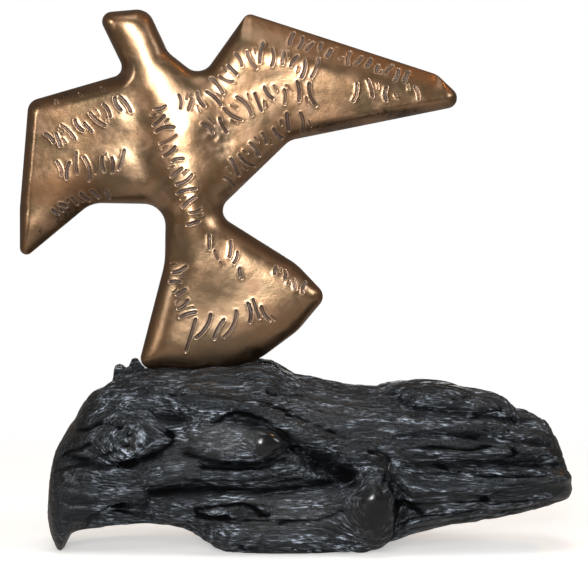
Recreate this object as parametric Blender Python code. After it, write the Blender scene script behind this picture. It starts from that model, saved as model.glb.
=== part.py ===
"""A polished bronze dove that stands on its fanned tail in a seat cut into a blackened root.

Metres, +Z up, and the carved side faces -Y. The origin is on the ground, under the middle of the
whole work.
"""

import math

import bmesh
import bpy
import numpy as np
from mathutils import Vector
from mathutils.bvhtree import BVHTree
from mathutils.geometry import delaunay_2d_cdt

# Driving dimensions, in metres
DOVE_SPAN = 0.292  # across both wings
DOVE_THICKNESS = 0.044  # through the breast
WING_SWEEP = 0.012  # how far the wing tips lie behind the breast
STROKE_WIDTH = 0.0025  # of one cut mark in the bronze
STROKE_DEPTH = 0.0013
STROKE_SPACE = 0.0009  # least metal left between two marks
ROOT_LENGTH = 0.350
ROOT_DEPTH = 0.120  # front to back
ROOT_HEIGHT = 0.1255  # ground to the crest beside the tail
SEAT_DEPTH = 0.0035  # how deep the tail's foot sinks into the root
SEAT_GAP = 0.00035  # clearance round the foot in its seat

# How fine the faceted solids are
RIM_STEP = 0.0075  # longest step along the dove's outline
FACE_STEP = 0.0118  # between points on the dove's faces
RING_DEPTHS = (0.0012, 0.0048, 0.0100)  # rings of points inside the outline, from the edge
ROOT_STATIONS = 130  # rings along the root before it is thinned
ROOT_SPOKES = 128  # points round each ring
ROOT_TRIANGLES = 4750  # what the thinned root keeps

# The dove's outline, in percent of its span from the lowest point of its foot. Each corner is
# rounded, and names the edge that runs from it to the next one, clockwise from the crown.
DOVE_CORNERS = (
    # edge, x, z, corner radius
    ("crown", -23.7, 82.2, 2.3),
    ("neck", -12.0, 83.2, 4.1),
    ("neck", -7.4, 73.3, 4.6),
    ("shoulder", 0.0, 67.4, 3.7),
    ("brow", 10.6, 82.2, 1.8),
    ("tip", 54.1, 68.3, 4.6),
    ("trail", 61.4, 61.5, 2.4),
    ("flank", 20.3, 53.2, 4.6),
    ("fan", 3.2, 36.7, 3.0),
    ("fan", 21.9, 24.9, 13.7),
    ("foot", 28.8, 17.6, 2.7),
    ("foot", 22.1, 9.6, 13.7),
    ("foot", 13.2, 3.0, 13.7),
    ("foot", 2.3, -0.3, 18.3),
    ("tail_side", -14.6, 1.1, 2.5),
    ("tail_side", -8.3, 25.3, 18.3),
    ("under_wing", -8.1, 38.6, 5.0),
    ("drop", -25.1, 38.9, 6.8),
    ("outer", -41.6, 25.3, 1.55),
    ("outer", -41.6, 37.7, 22.8),
    ("lead", -39.5, 62.1, 3.0),
    ("neck", -17.1, 68.5, 2.3),
)

# How the bronze rises inwards from each kind of edge, in percent of the span: over the width
# "wide" it climbs to "high", straight where "roundness" is 1 and as a quarter ellipse at 2, and
# from there it goes on climbing at the slope "rise".
EDGE_PROFILES = {
    # edge: wide, high, roundness, rise
    "crown": (6.0, 5.2, 2.0, 0.02),
    "neck": (6.8, 5.7, 2.0, 0.02),
    "shoulder": (7.0, 5.6, 1.8, 0.03),
    "lead": (3.6, 3.9, 1.25, 0.05),
    "brow": (12.0, 6.2, 1.2, 0.00),
    "tip": (3.4, 3.0, 2.0, 0.12),
    "trail": (2.6, 3.0, 1.35, 0.20),
    "flank": (11.0, 5.4, 1.7, 0.08),
    "fan": (8.5, 5.0, 1.7, 0.02),
    "foot": (11.0, 4.9, 1.8, 0.02),
    "tail_side": (13.0, 5.4, 1.7, 0.02),
    "under_wing": (12.0, 5.6, 1.7, 0.03),
    "drop": (12.0, 4.1, 1.5, 0.06),
    "outer": (2.4, 2.8, 1.25, 0.12),
}
BLEND_POWER = 5.0  # how crisp the ridges are where two edges' slopes meet
EDGE_REACH = 14.0  # beyond this distance an edge soon stops holding the surface down
EDGE_RELEASE = 0.03

# Where the body and the tail swell past those slopes, and the soft valley beside the body, where
# the share is negative: the path along the middle, the reach to its sides and the share added
BODY_SWELLS = (
    (
        ((-17.2, 80.5), (-14.6, 75.0), (-11.2, 69.0), (-7.4, 62.0), (-3.6, 54.0), (-1.6, 47.0), (-1.0, 40.0)),
        8.2,
        0.38,
    ),
    (((-19.0, 57.5), (-18.6, 49.5)), 5.0, 0.07),
    (((-14.4, 60.5), (-12.4, 47.0)), 3.2, -0.09),
    (((5.0, 24.0), (9.5, 15.0)), 8.0, 0.07),
)
BREAST = (-5.0, 51.0)

# Rows of cut marks on the front, in percent of the span: the path of a row, how many strokes it
# has, their height, and their lean in degrees.
FRONT_ROWS = (
    (((-36.5, 61.6), (-21.0, 65.9)), 9, 2.3, 20),
    (((-34.5, 53.0), (-25.5, 56.8), (-16.5, 62.0)), 14, 4.3, 8),
    (((-33.0, 46.5), (-25.0, 47.6), (-17.0, 48.2)), 8, 5.2, -6),
    (((-34.5, 36.5), (-27.5, 40.0), (-20.0, 41.3)), 6, 2.2, 30),
    (((-10.0, 61.5), (-7.5, 54.0), (-5.0, 47.0), (-2.4, 40.0), (-0.6, 33.5)), 12, 4.2, 8),
    (((-5.8, 62.0), (1.0, 62.0), (5.0, 66.2), (9.0, 71.0), (16.0, 72.4), (27.0, 68.5)), 15, 4.4, 0),
    (((1.0, 54.5), (6.5, 58.2), (12.5, 62.2), (19.0, 63.8), (27.0, 63.6)), 9, 5.0, 8),
    (((5.0, 43.0), (9.5, 48.0), (15.0, 53.5), (21.0, 57.2), (27.5, 58.6)), 9, 4.2, -8),
    (((19.5, 76.4), (34.0, 72.0), (48.0, 67.2)), 13, 2.7, -10),
    (((33.5, 64.6), (42.0, 64.3), (51.0, 64.0)), 5, 4.0, 4),
    (((-5.2, 27.5), (-5.0, 19.5), (-2.2, 12.5)), 6, 3.6, 10),
    (((1.6, 30.5), (5.2, 24.6)), 4, 3.2, 70),
    (((6.2, 30.0), (9.6, 22.4)), 3, 3.6, 60),
    (((-5.0, 9.8), (9.5, 11.0)), 7, 7.6, -24),
    (((10.0, 15.0), (17.5, 13.4)), 4, 4.4, 30),
    (((16.0, 24.6), (24.5, 18.6)), 4, 2.4, 35),
)
# The hidden side is plainer, with two rows
BACK_ROWS = (
    (((-33.0, 50.0), (-17.0, 55.0)), 8, 4.0, 6),
    (((8.0, 60.0), (32.0, 63.0)), 10, 4.0, -6),
)

# The root's sections, in percent of its length: the crest point and the foot point of each
# ring, which lean with the grain, and its reach to the front and to the back.
ROOT_SECTIONS = (
    # crest x, crest z, foot x, foot z, front, back
    (0.6, 15.4, 0.0, 7.8, 4.2, 4.9),
    (1.7, 19.2, 0.1, 5.0, 7.7, 8.4),
    (4.6, 24.0, 1.0, 1.6, 10.8, 11.2),
    (7.8, 28.7, 2.5, -0.5, 12.6, 12.9),
    (10.8, 30.9, 4.4, 2.8, 13.6, 14.0),
    (13.6, 32.0, 6.9, 4.1, 14.3, 15.0),
    (18.5, 33.5, 12.8, 4.8, 15.0, 16.1),
    (29.0, 34.2, 26.1, 4.6, 16.1, 17.1),
    (35.0, 34.8, 32.4, 0.8, 16.4, 17.5),
    (40.8, 35.8, 38.5, -1.0, 16.8, 17.5),
    (46.1, 33.8, 46.1, -1.1, 16.8, 17.1),
    (56.6, 31.0, 58.6, -0.5, 16.4, 16.4),
    (61.7, 30.9, 65.6, 2.0, 15.7, 15.7),
    (68.0, 31.7, 71.8, 3.9, 15.0, 15.4),
    (78.9, 30.8, 81.9, 5.8, 13.6, 14.7),
    (86.1, 28.4, 88.4, 6.9, 12.9, 13.6),
    (90.9, 25.8, 93.7, 8.2, 11.9, 12.9),
    (94.7, 23.9, 98.5, 9.3, 10.5, 11.5),
    (96.0, 22.4, 99.5, 10.0, 9.1, 10.1),
    (97.0, 21.1, 100.0, 11.2, 7.0, 8.0),
)
ROOT_SQUARENESS = (2.2, 2.8)  # of the upper and the lower half: 2 is an ellipse, more is boxier

# Swells and hollows of the root, in percent of its length
ROOT_SWELLS = (
    # side, x, z (y on top), reach along, reach across, tilt in degrees, rise
    ("front", 36.0, 21.9, 8.5, 3.6, -3, 2.3),  # the smooth tongue
    ("front", 42.0, 21.3, 3.6, 3.0, 0, 1.6),  # the polished knot at its end
    ("front", 56.6, 15.4, 3.4, 2.4, -30, -3.2),  # the deep pit
    ("front", 52.0, 18.2, 5.4, 2.6, -35, -2.4),
    ("front", 60.8, 19.2, 2.4, 2.6, 20, 1.6),  # the curled knot
    ("front", 62.0, 8.4, 4.4, 6.0, 8, 3.2),  # the big polished knot
    ("front", 16.4, 21.9, 5.4, 3.8, 20, 1.7),  # the rough burl
    ("front", 24.0, 26.2, 4.4, 1.7, -12, -1.8),
    ("front", 21.6, 29.4, 3.2, 1.5, -10, 1.1),
    ("front", 28.0, 8.8, 7.5, 2.2, 0, 1.5),
    ("front", 38.6, 8.6, 3.6, 1.3, 0, -1.6),
    ("front", 34.7, 3.4, 4.6, 2.6, 0, 1.2),
    ("front", 46.5, 10.2, 5.4, 1.7, -6, 1.3),
    ("front", 76.0, 30.0, 9.5, 2.2, -6, 1.8),  # the upper right lobe
    ("front", 80.0, 20.5, 13.0, 2.0, -3, 0.9),
    ("top", 14.0, 4.8, 1.3, 1.7, 0, 2.0),  # the two small stubs behind the tail
    ("top", 16.9, 4.0, 1.2, 1.8, 0, 1.6),
    ("back", 30.0, 20.0, 9.0, 4.0, 5, 1.8),
    ("back", 68.0, 15.0, 6.0, 5.0, 0, 2.2),
    ("back", 50.0, 12.0, 6.0, 3.0, 10, -1.8),
)
# Ridges and furrows that follow the grain: side, width, rise, and the line through x and z
ROOT_GRAIN_LINES = (
    ("front", 1.9, 1.7, ((27.0, 29.4), (36.6, 28.0), (43.2, 25.4), (50.5, 21.4), (57.4, 18.6))),
    ("front", 0.9, -1.5, ((35.0, 26.0), (43.0, 23.8), (48.5, 19.6), (51.5, 16.4))),
    ("front", 0.8, -1.5, ((4.4, 18.4), (8.4, 17.5), (11.8, 17.0), (15.0, 17.4), (21.4, 19.6))),
    ("front", 1.5, 1.1, ((10.7, 29.7), (14.7, 28.8), (19.4, 26.9))),
    ("front", 1.1, -2.6, ((20.4, 11.8), (29.0, 12.7), (43.2, 12.6), (53.7, 14.0))),
    ("front", 1.0, 1.1, ((19.4, 14.4), (29.0, 15.1), (38.5, 15.0))),
    ("front", 0.8, -1.8, ((27.0, 19.4), (31.8, 17.9), (37.5, 17.6), (45.1, 18.6))),
    ("front", 0.9, -1.5, ((64.5, 30.6), (69.9, 27.6), (78.5, 26.8), (92.0, 24.4))),
    ("front", 0.9, -1.2, ((66.5, 22.5), (78.0, 22.8), (95.0, 20.4))),
    ("front", 0.9, -1.3, ((67.5, 17.0), (80.0, 17.2), (97.0, 16.6))),
    ("front", 0.9, -1.5, ((65.0, 15.0), (67.2, 11.4), (67.4, 7.2), (64.6, 2.4))),
    ("front", 1.1, 1.1, ((69.0, 12.2), (82.3, 12.8), (99.0, 14.3))),
    ("back", 1.0, -1.8, ((12.0, 22.0), (35.0, 25.0), (60.0, 22.0), (88.0, 20.0))),
    ("back", 1.0, -1.5, ((20.0, 12.0), (40.0, 14.0), (80.0, 13.0))),
    ("back", 1.2, 1.2, ((10.0, 28.0), (40.0, 30.0), (85.0, 26.0))),
)
# The knots that the grain parts round: x, z and radius, in percent of the root's length
ROOT_KNOTS = ((40.0, 21.6, 4.6), (61.5, 9.5, 5.2), (15.6, 21.7, 4.0))
GRAIN_WAVES = ((5.2, 0.40), (3.1, 0.26))  # width of a ridge across the grain, and its height
SMOOTH_ENDS = (9.0, 95.0)  # the grain is sawn and sanded away beyond these, along the root

# The arched hollow under the left end, in percent of the root's length: its front outline, and
# how far behind the front of the root its wall lies
ARCH_OUTLINE = (
    (3.2, -3.0),
    (5.1, 3.4),
    (8.4, 7.4),
    (11.8, 9.3),
    (15.6, 10.3),
    (20.0, 10.9),
    (21.0, 6.5),
    (21.6, -3.0),
)
ARCH_WALL = 5.2
SEAT_PLACE = (29.2, 0.8)  # the foot's lowest point on the root, along and back from its axis


def percent_of(size, values):
    return np.asarray(values, float) * size / 100.0


def curve_through(points, steps):
    """Points on a centripetal Catmull-Rom curve through rows of numbers, evenly spaced."""
    rows = np.asarray(points, float)
    rows = np.vstack([2 * rows[0] - rows[1], rows, 2 * rows[-1] - rows[-2]])
    knots = np.r_[0, np.cumsum(np.linalg.norm(np.diff(rows, axis=0), axis=1) ** 0.5)]
    dense = []
    for i in range(1, len(rows) - 2):
        t0, t1, t2, t3 = knots[i - 1 : i + 3]
        p0, p1, p2, p3 = rows[i - 1 : i + 3]
        for t in np.linspace(t1, t2, 40, endpoint=False):
            a = p0 * (t1 - t) / (t1 - t0) + p1 * (t - t0) / (t1 - t0)
            b = p1 * (t2 - t) / (t2 - t1) + p2 * (t - t1) / (t2 - t1)
            c = p2 * (t3 - t) / (t3 - t2) + p3 * (t - t2) / (t3 - t2)
            ab = a * (t2 - t) / (t2 - t0) + b * (t - t0) / (t2 - t0)
            bc = b * (t3 - t) / (t3 - t1) + c * (t - t1) / (t3 - t1)
            dense.append(ab * (t2 - t) / (t2 - t1) + bc * (t - t1) / (t2 - t1))
    dense.append(rows[-2])
    return along_line(np.array(dense), steps)


def along_line(line, steps):
    """The line resampled into points that are evenly spaced along it."""
    lengths = np.r_[0, np.cumsum(np.linalg.norm(np.diff(line, axis=0), axis=1))]
    wanted = np.linspace(0, lengths[-1], steps)
    return np.stack([np.interp(wanted, lengths, column) for column in line.T], axis=1)


def distance_to_line(points, line):
    """Least distance from each point to a chain of segments in the same plane."""
    starts, ends = line[:-1], line[1:]
    runs = ends - starts
    squares = np.maximum((runs**2).sum(1), 1e-18)
    nearest = np.full(len(points), np.inf)
    for start, run, square in zip(starts, runs, squares):
        share = np.clip(((points - start) @ run) / square, 0, 1)
        gap = points - start - share[:, None] * run
        nearest = np.minimum(nearest, (gap**2).sum(1))
    return np.sqrt(nearest)


def apart(points, chosen, gap):
    """Those of the points that lie at least the gap from the chosen ones and from each other."""
    kept = [np.asarray(p, float) for p in chosen]
    first_new = len(kept)
    for point in points:
        others = np.array(kept) if kept else np.empty((0, 2))
        if not len(others) or ((others - point) ** 2).sum(1).min() >= gap * gap:
            kept.append(point)
    return kept[first_new:]


def rounded_outline():
    """The dove's outline in metres as (edge kind, points) chains, clockwise from the crown."""
    spots = [Vector((x, z)) * DOVE_SPAN / 100 for _, x, z, _ in DOVE_CORNERS]
    halves = []
    for i, (_, _, _, radius) in enumerate(DOVE_CORNERS):
        spot = spots[i]
        to_last = (spots[i - 1] - spot).normalized()
        to_next = (spots[(i + 1) % len(spots)] - spot).normalized()
        opening = to_last.angle(to_next)
        reach = radius * DOVE_SPAN / 100 / math.tan(opening / 2)
        bisector = (to_last + to_next).normalized()
        centre = spot + bisector * (radius * DOVE_SPAN / 100 / math.sin(opening / 2))
        first, last = spot + to_last * reach, spot + to_next * reach
        turn = (first - centre).angle_signed(last - centre)
        steps = 24
        arc = []
        for k in range(steps + 1):
            angle = -turn * k / steps
            offset = first - centre
            spun = Vector(
                (
                    offset.x * math.cos(angle) - offset.y * math.sin(angle),
                    offset.x * math.sin(angle) + offset.y * math.cos(angle),
                )
            )
            arc.append(tuple(centre + spun))
        halves.append((arc[: steps // 2 + 1], arc[steps // 2 :]))
    chains = []
    for i, (edge, _, _, _) in enumerate(DOVE_CORNERS):
        chain = halves[i][1] + halves[(i + 1) % len(halves)][0]
        chains.append((edge, np.array(chain)))
    return chains


def relief_at(points, chains):
    """Half the bronze's thickness at each point of the outline's plane, before scaling."""
    unit = DOVE_SPAN / 100
    total = np.zeros(len(points))
    for edge, chain in chains:
        wide, high, roundness, rise = EDGE_PROFILES[edge]
        away = distance_to_line(points, chain) / unit
        share = np.clip(away / wide, 0, 1)
        height = high * (1 - (1 - share) ** roundness) ** (1 / roundness)
        height += rise * np.maximum(away - wide, 0)
        height += EDGE_RELEASE * np.maximum(away - EDGE_REACH, 0) ** 2
        total += np.maximum(height, 1e-6) ** -BLEND_POWER
    relief = total ** (-1 / BLEND_POWER)
    swell = np.ones(len(points))
    for path, reach, share in BODY_SWELLS:
        line = curve_through(percent_of(DOVE_SPAN, path), 12)
        away = distance_to_line(points, line) / (reach * unit)
        swell += share * np.exp(-(away**2))
    return relief * swell * unit


def sweep_at(points):
    """How far back the middle of the bronze lies: the wings are swept behind the breast."""
    unit = DOVE_SPAN / 100
    reach = (points[:, 0] - BREAST[0] * unit) / (60 * unit)
    above_tail = np.clip(points[:, 1] / (40 * unit), 0, 1)
    return WING_SWEEP * reach**2 * above_tail


def rim_points(chains):
    """The outline as one closed chain, with short steps round tight corners."""
    line = np.vstack([chain[:-1] for _, chain in chains])
    closed = np.vstack([line, line[:1]])
    fine = along_line(closed, 2400)[:-1]
    step = np.linalg.norm(fine[1] - fine[0])
    before, after = np.roll(fine, 6, axis=0), np.roll(fine, -6, axis=0)
    bend = np.linalg.norm(before + after - 2 * fine, axis=1) / (6 * step) ** 2
    bend = np.convolve(np.r_[bend[-12:], bend, bend[:12]], np.ones(25) / 25, "valid")
    wanted = np.clip(0.42 / np.maximum(bend, 1e-6), RIM_STEP / 4, RIM_STEP)
    cost = np.r_[0, np.cumsum(step / wanted)]
    count = int(round(cost[-1]))
    places = np.interp(np.arange(count) * cost[-1] / count, cost, np.arange(len(cost)))
    return fine[np.round(places).astype(int) % len(fine)]


def row_strokes(path, count, height, lean):
    """The strokes of one row, as short chains of points: plain bars and bows."""
    unit = DOVE_SPAN / 100
    line = curve_through(percent_of(DOVE_SPAN, path), 2 * count + 1)
    strokes = []
    for k in range(count):
        here = line[2 * k + 1]
        ahead = line[2 * k + 2] - line[2 * k]
        heading = math.atan2(ahead[1], ahead[0])
        rhythm = math.sin(5.1 * k + 1.7 * height + 0.3 * count)
        angle = heading + math.radians(90 + lean + 16 * math.sin(2.3 * k + count))
        length = height * unit * (0.78 + 0.22 * rhythm)
        along = np.array((math.cos(angle), math.sin(angle)))
        across = np.array((-along[1], along[0]))
        middle = here + along * height * unit * 0.16 * math.sin(3.7 * k + lean)
        bow = length * 0.11 * math.sin(1.9 * k + height)
        strokes.append(
            np.array([middle - along * length / 2, middle + across * bow, middle + along * length / 2])
        )
    return strokes


def stroke_edge(stroke):
    """The closed outline of a stroke on the surface: two sides and pointed ends."""
    half = STROKE_WIDTH / 2
    ahead = stroke[-1] - stroke[0]
    ahead = ahead / np.linalg.norm(ahead)
    across = np.array((-ahead[1], ahead[0])) * half
    side = [stroke[0] * 0.72 + stroke[1] * 0.28, stroke[1], stroke[2] * 0.72 + stroke[1] * 0.28]
    left = [point + across for point in side]
    right = [point - across for point in reversed(side)]
    return [stroke[0] - ahead * half] + left + [stroke[-1] + ahead * half] + right


def marks_of(rows, chains):
    """Every stroke of the rows that keeps clear of the rim and of the strokes before it."""
    rim = np.vstack([chain for _, chain in chains])
    kept = []
    for row in rows:
        for stroke in row_strokes(*row):
            samples = along_line(stroke, 9)
            clear = STROKE_WIDTH + STROKE_SPACE
            if distance_to_line(samples, rim).min() < clear:
                continue
            if any(distance_to_line(samples, other).min() < clear for other in kept):
                continue
            kept.append(stroke)
    return kept


def face_sheet(rim, chains, marks):
    """One face of the dove in its outline's plane: points, triangles, and which are cut deep."""
    points = [tuple(point) for point in rim]
    count = len(points)
    edges = [(i, (i + 1) % count) for i in range(count)]
    outline = list(range(count))
    deep = set()
    for stroke in marks:
        edge = stroke_edge(stroke)
        first = len(points)
        points += [tuple(point) for point in edge]
        edges += [(first + i, first + (i + 1) % len(edge)) for i in range(len(edge))]
        first = len(points)
        bottom = [stroke[0] * 0.8 + stroke[1] * 0.2, stroke[1], stroke[2] * 0.8 + stroke[1] * 0.2]
        points += [tuple(point) for point in bottom]
        edges += [(first, first + 1), (first + 1, first + 2)]
        deep.update((first, first + 1, first + 2))

    # Rings just inside the rim hold the round of the edge, and a staggered grid fills the rest
    area = 0.5 * np.sum(rim[:, 0] * np.roll(rim[:, 1], -1) - np.roll(rim[:, 0], -1) * rim[:, 1])
    ahead = np.roll(rim, -1, axis=0) - np.roll(rim, 1, axis=0)
    inward = np.stack([-ahead[:, 1], ahead[:, 0]], axis=1) * math.copysign(1, area)
    inward /= np.linalg.norm(inward, axis=1)[:, None]
    inner = []
    for last, depth in zip((0.0, *RING_DEPTHS), RING_DEPTHS):
        ring = rim + inward * depth
        fits = distance_to_line(ring, np.vstack([rim, rim[:1]])) > 0.9 * depth
        ring = ring[fits & inside_of(ring, rim)]
        inner += apart(ring, points + inner, 0.85 * (depth - last))
    low, high = rim.min(0), rim.max(0)
    grid = []
    for row, z in enumerate(np.arange(low[1], high[1], FACE_STEP * math.sqrt(3) / 2)):
        shift = FACE_STEP / 2 * (row % 2)
        grid += [(x, z) for x in np.arange(low[0] + shift, high[0], FACE_STEP)]
    grid = np.array(grid)
    fits = distance_to_line(grid, np.vstack([rim, rim[:1]])) > RING_DEPTHS[-1] + FACE_STEP / 4
    grid = grid[fits & inside_of(grid, rim)]
    inner += apart(grid, points + inner, FACE_STEP / 2)
    if marks:
        beside = np.array(inner)
        clear = np.full(len(beside), np.inf)
        for stroke in marks:
            clear = np.minimum(clear, distance_to_line(beside, stroke))
        inner = list(beside[clear > STROKE_WIDTH])
    points += [tuple(point) for point in inner]

    made, _, faces, origins, _, _ = delaunay_2d_cdt(
        [Vector(point) for point in points], edges, [outline], 1, 1e-7
    )
    cut = [any(origin in deep for origin in found) for found in origins]
    on_rim = [min((origin for origin in found if origin < count), default=-1) for found in origins]
    return np.array([tuple(point) for point in made]), faces, cut, on_rim


def inside_of(points, loop):
    """Which points lie inside a closed loop, by counting crossings."""
    inside = np.zeros(len(points), bool)
    x, z = points[:, 0], points[:, 1]
    for (x0, z0), (x1, z1) in zip(loop, np.roll(loop, -1, axis=0)):
        crosses = (z0 > z) != (z1 > z)
        if z0 != z1:
            inside ^= crosses & (x < (x1 - x0) * (z - z0) / (z1 - z0) + x0)
    return inside


def dove_mesh():
    """The whole bird as one closed mesh: a front and a back sheet that share their rim."""
    chains = rounded_outline()
    rim = rim_points(chains)
    scale = DOVE_THICKNESS / 2 / relief_at(percent_of(DOVE_SPAN, [BREAST]), chains)[0]
    mesh = bmesh.new()
    rim_verts = [mesh.verts.new((x, y, z)) for (x, z), y in zip(rim, sweep_at(rim))]
    for side, rows in ((-1, FRONT_ROWS), (1, BACK_ROWS)):
        marks = marks_of(rows, chains)
        points, faces, cut, on_rim = face_sheet(rim, chains, marks)
        thick = relief_at(points, chains) * scale
        middle = sweep_at(points)
        verts = []
        for (x, z), half, back, is_cut, origin in zip(points, thick, middle, cut, on_rim):
            if origin >= 0:
                verts.append(rim_verts[origin])
                continue
            depth = min(STROKE_DEPTH, half / 2) if is_cut else 0.0
            verts.append(mesh.verts.new((x, back + side * (half - depth), z)))
        for face in faces:
            corners = [verts[i] for i in face]
            mesh.faces.new(corners if side < 0 else corners[::-1])
    bmesh.ops.recalc_face_normals(mesh, faces=mesh.faces)
    mesh.normal_update()
    return mesh


def grain_coordinate(x, z):
    """A height across the grain, whose level lines part round the knots as a stream does."""
    level = z.copy()
    for knot_x, knot_z, radius in ROOT_KNOTS:
        square = np.maximum((x - knot_x) ** 2 + (z - knot_z) ** 2, radius**2)
        level -= (z - knot_z) * 0.8 * radius**2 / square
    return level


def root_mesh():
    """The root before its cuts: rings round a leaning spine, then its swells and its grain."""
    sections = curve_through(ROOT_SECTIONS, ROOT_STATIONS)
    mesh = bmesh.new()
    rings = []
    for crest_x, crest_z, foot_x, foot_z, front, back in sections:
        ring = []
        for k in range(ROOT_SPOKES):
            angle = 2 * math.pi * k / ROOT_SPOKES
            power = 2 / ROOT_SQUARENESS[0 if math.sin(angle) > 0 else 1]
            up = math.copysign(abs(math.sin(angle)) ** power, math.sin(angle))
            out = math.copysign(abs(math.cos(angle)) ** power, math.cos(angle))
            share = (1 + up) / 2
            x = foot_x + (crest_x - foot_x) * share
            z = foot_z + (crest_z - foot_z) * share
            ring.append(mesh.verts.new((x, out * (back if out > 0 else front), z)))
        rings.append(ring)
    for ring, after in zip(rings, rings[1:]):
        for k in range(ROOT_SPOKES):
            j = (k + 1) % ROOT_SPOKES
            mesh.faces.new((ring[k], after[k], after[j], ring[j]))
    mesh.faces.new(rings[0])
    mesh.faces.new(rings[-1][::-1])
    bmesh.ops.triangulate(mesh, faces=[f for f in mesh.faces if len(f.verts) > 4])
    bmesh.ops.recalc_face_normals(mesh, faces=mesh.faces)
    mesh.normal_update()
    shape_root(mesh)
    size = [max(v.co[i] for v in mesh.verts) - min(v.co[i] for v in mesh.verts) for i in (0, 1)]
    crest = max(row[1] for row in ROOT_SECTIONS)
    real = (ROOT_LENGTH / size[0], ROOT_DEPTH / size[1], ROOT_HEIGHT / crest)
    bmesh.ops.scale(mesh, vec=real, verts=mesh.verts)
    mesh.normal_update()
    return mesh, real


def facing(side, normals):
    """How squarely each point faces the front, the back or the sky, from 0 to 1."""
    turned = {"front": -normals[:, 1], "back": normals[:, 1], "top": normals[:, 2]}[side]
    return np.clip(1.6 * turned, 0, 1)


def shape_root(mesh):
    """Moves the root's points out and in along their normals by its swells, lines and waves."""
    places = np.array([v.co for v in mesh.verts])
    normals = np.array([v.normal for v in mesh.verts])
    rise = np.zeros(len(places))
    for side, x, z, along, across, tilt, height in ROOT_SWELLS:
        other = 1 if side == "top" else 2
        turn = math.radians(tilt)
        dx, dz = places[:, 0] - x, places[:, other] - z
        u = (dx * math.cos(turn) + dz * math.sin(turn)) / along
        v = (dz * math.cos(turn) - dx * math.sin(turn)) / across
        rise += height * np.exp(-((u * u + v * v) ** 1.7)) * facing(side, normals)
    front_view = places[:, [0, 2]]
    for side, width, height, path in ROOT_GRAIN_LINES:
        away = distance_to_line(front_view, curve_through(path, 40)) / width
        rise += height * np.exp(-(away**2)) * facing(side, normals)
    level = grain_coordinate(places[:, 0], places[:, 2])
    level = level + 0.35 * np.abs(places[:, 1])
    fade = np.clip((places[:, 0] - SMOOTH_ENDS[0]) / 6 + 1, 0, 1)
    fade *= np.clip((SMOOTH_ENDS[1] - places[:, 0]) / 3 + 1, 0, 1)
    for number, (wavelength, height) in enumerate(GRAIN_WAVES):
        drift = 0.9 * np.sin(places[:, 0] * 0.11 * (number + 1) + number)
        ridge = 2 * np.abs(np.sin(math.pi * level / wavelength + drift)) - 1
        rise += height * ridge * fade
    moved = places + normals * rise[:, None]
    for vert, place in zip(mesh.verts, moved):
        vert.co = place


def arch_mesh(real):
    """The cutter for the arched hollow under the root's left end, open to the front and below."""
    mesh = bmesh.new()
    front, wall = -30.0 * real[1], -ARCH_WALL * real[1]
    shrink = 0.86  # the hollow narrows a little towards its wall
    middle = sum(x for x, _ in ARCH_OUTLINE) / len(ARCH_OUTLINE)
    rings = []
    for y, share in ((front, 1.0), (wall - 0.006, 1.0), (wall, shrink)):
        ring = []
        for x, z in ARCH_OUTLINE:
            x = middle + (x - middle) * share
            z = z * share if z > 0 else z
            ring.append(mesh.verts.new((x * real[0], y, z * real[2])))
        rings.append(ring)
    for ring, after in zip(rings, rings[1:]):
        for k in range(len(ring)):
            j = (k + 1) % len(ring)
            mesh.faces.new((ring[k], ring[j], after[j], after[k]))
    mesh.faces.new(rings[0][::-1])
    mesh.faces.new(rings[-1])
    bmesh.ops.recalc_face_normals(mesh, faces=mesh.faces)
    return mesh


def ground_mesh():
    """A block whose top is the ground, which cuts the root's underside flat."""
    mesh = bmesh.new()
    bmesh.ops.create_cube(mesh, size=1.0)
    bmesh.ops.scale(mesh, vec=(3 * ROOT_LENGTH, 3 * ROOT_DEPTH, ROOT_HEIGHT), verts=mesh.verts)
    centre = (ROOT_LENGTH / 2, 0, -ROOT_HEIGHT / 2)
    bmesh.ops.translate(mesh, vec=centre, verts=mesh.verts)
    return mesh


def seat_mesh(dove):
    """The dove grown by the clearance on every side: what it cuts out is the foot's seat."""
    mesh = dove.copy()
    for vert in mesh.verts:
        vert.co += vert.normal * SEAT_GAP
    return mesh


def seat_place(root, real):
    """Where the lowest point of the dove's foot goes, found by dropping a line on the root."""
    x, y = SEAT_PLACE[0] * real[0], SEAT_PLACE[1] * real[1]
    hit = BVHTree.FromBMesh(root).ray_cast(Vector((x, y, 2 * ROOT_HEIGHT)), Vector((0, 0, -1)))[0]
    return Vector((x, y, hit.z - SEAT_DEPTH))


def material(name, colour, roughness, metallic):
    made = bpy.data.materials.new(name)
    made.use_nodes = True
    shader = made.node_tree.nodes["Principled BSDF"]
    shader.inputs["Base Color"].default_value = (*colour, 1.0)
    shader.inputs["Roughness"].default_value = roughness
    shader.inputs["Metallic"].default_value = metallic
    return made


def add_object(name, mesh, place, parent, finish=None, smooth_below=None):
    """A named object from a bmesh. One with no finish is a cutter, which isn't part of the work."""
    data = bpy.data.meshes.new(name)
    mesh.to_mesh(data)
    mesh.free()
    obj = bpy.data.objects.new(name, data)
    bpy.context.scene.collection.objects.link(obj)
    obj.parent = parent
    obj.location = place
    if finish:
        data.materials.append(finish)
    else:
        obj.hide_render = True
        obj.display_type = "WIRE"
    if smooth_below:
        data.shade_smooth()
        data.set_sharp_from_angle(angle=math.radians(smooth_below))
    return obj


def cut(obj, cutter):
    """Takes the cutter's shape out of the object."""
    modifier = obj.modifiers.new("cut_" + cutter.name, "BOOLEAN")
    modifier.operation = "DIFFERENCE"
    modifier.solver = "EXACT"
    modifier.object = cutter


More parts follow.
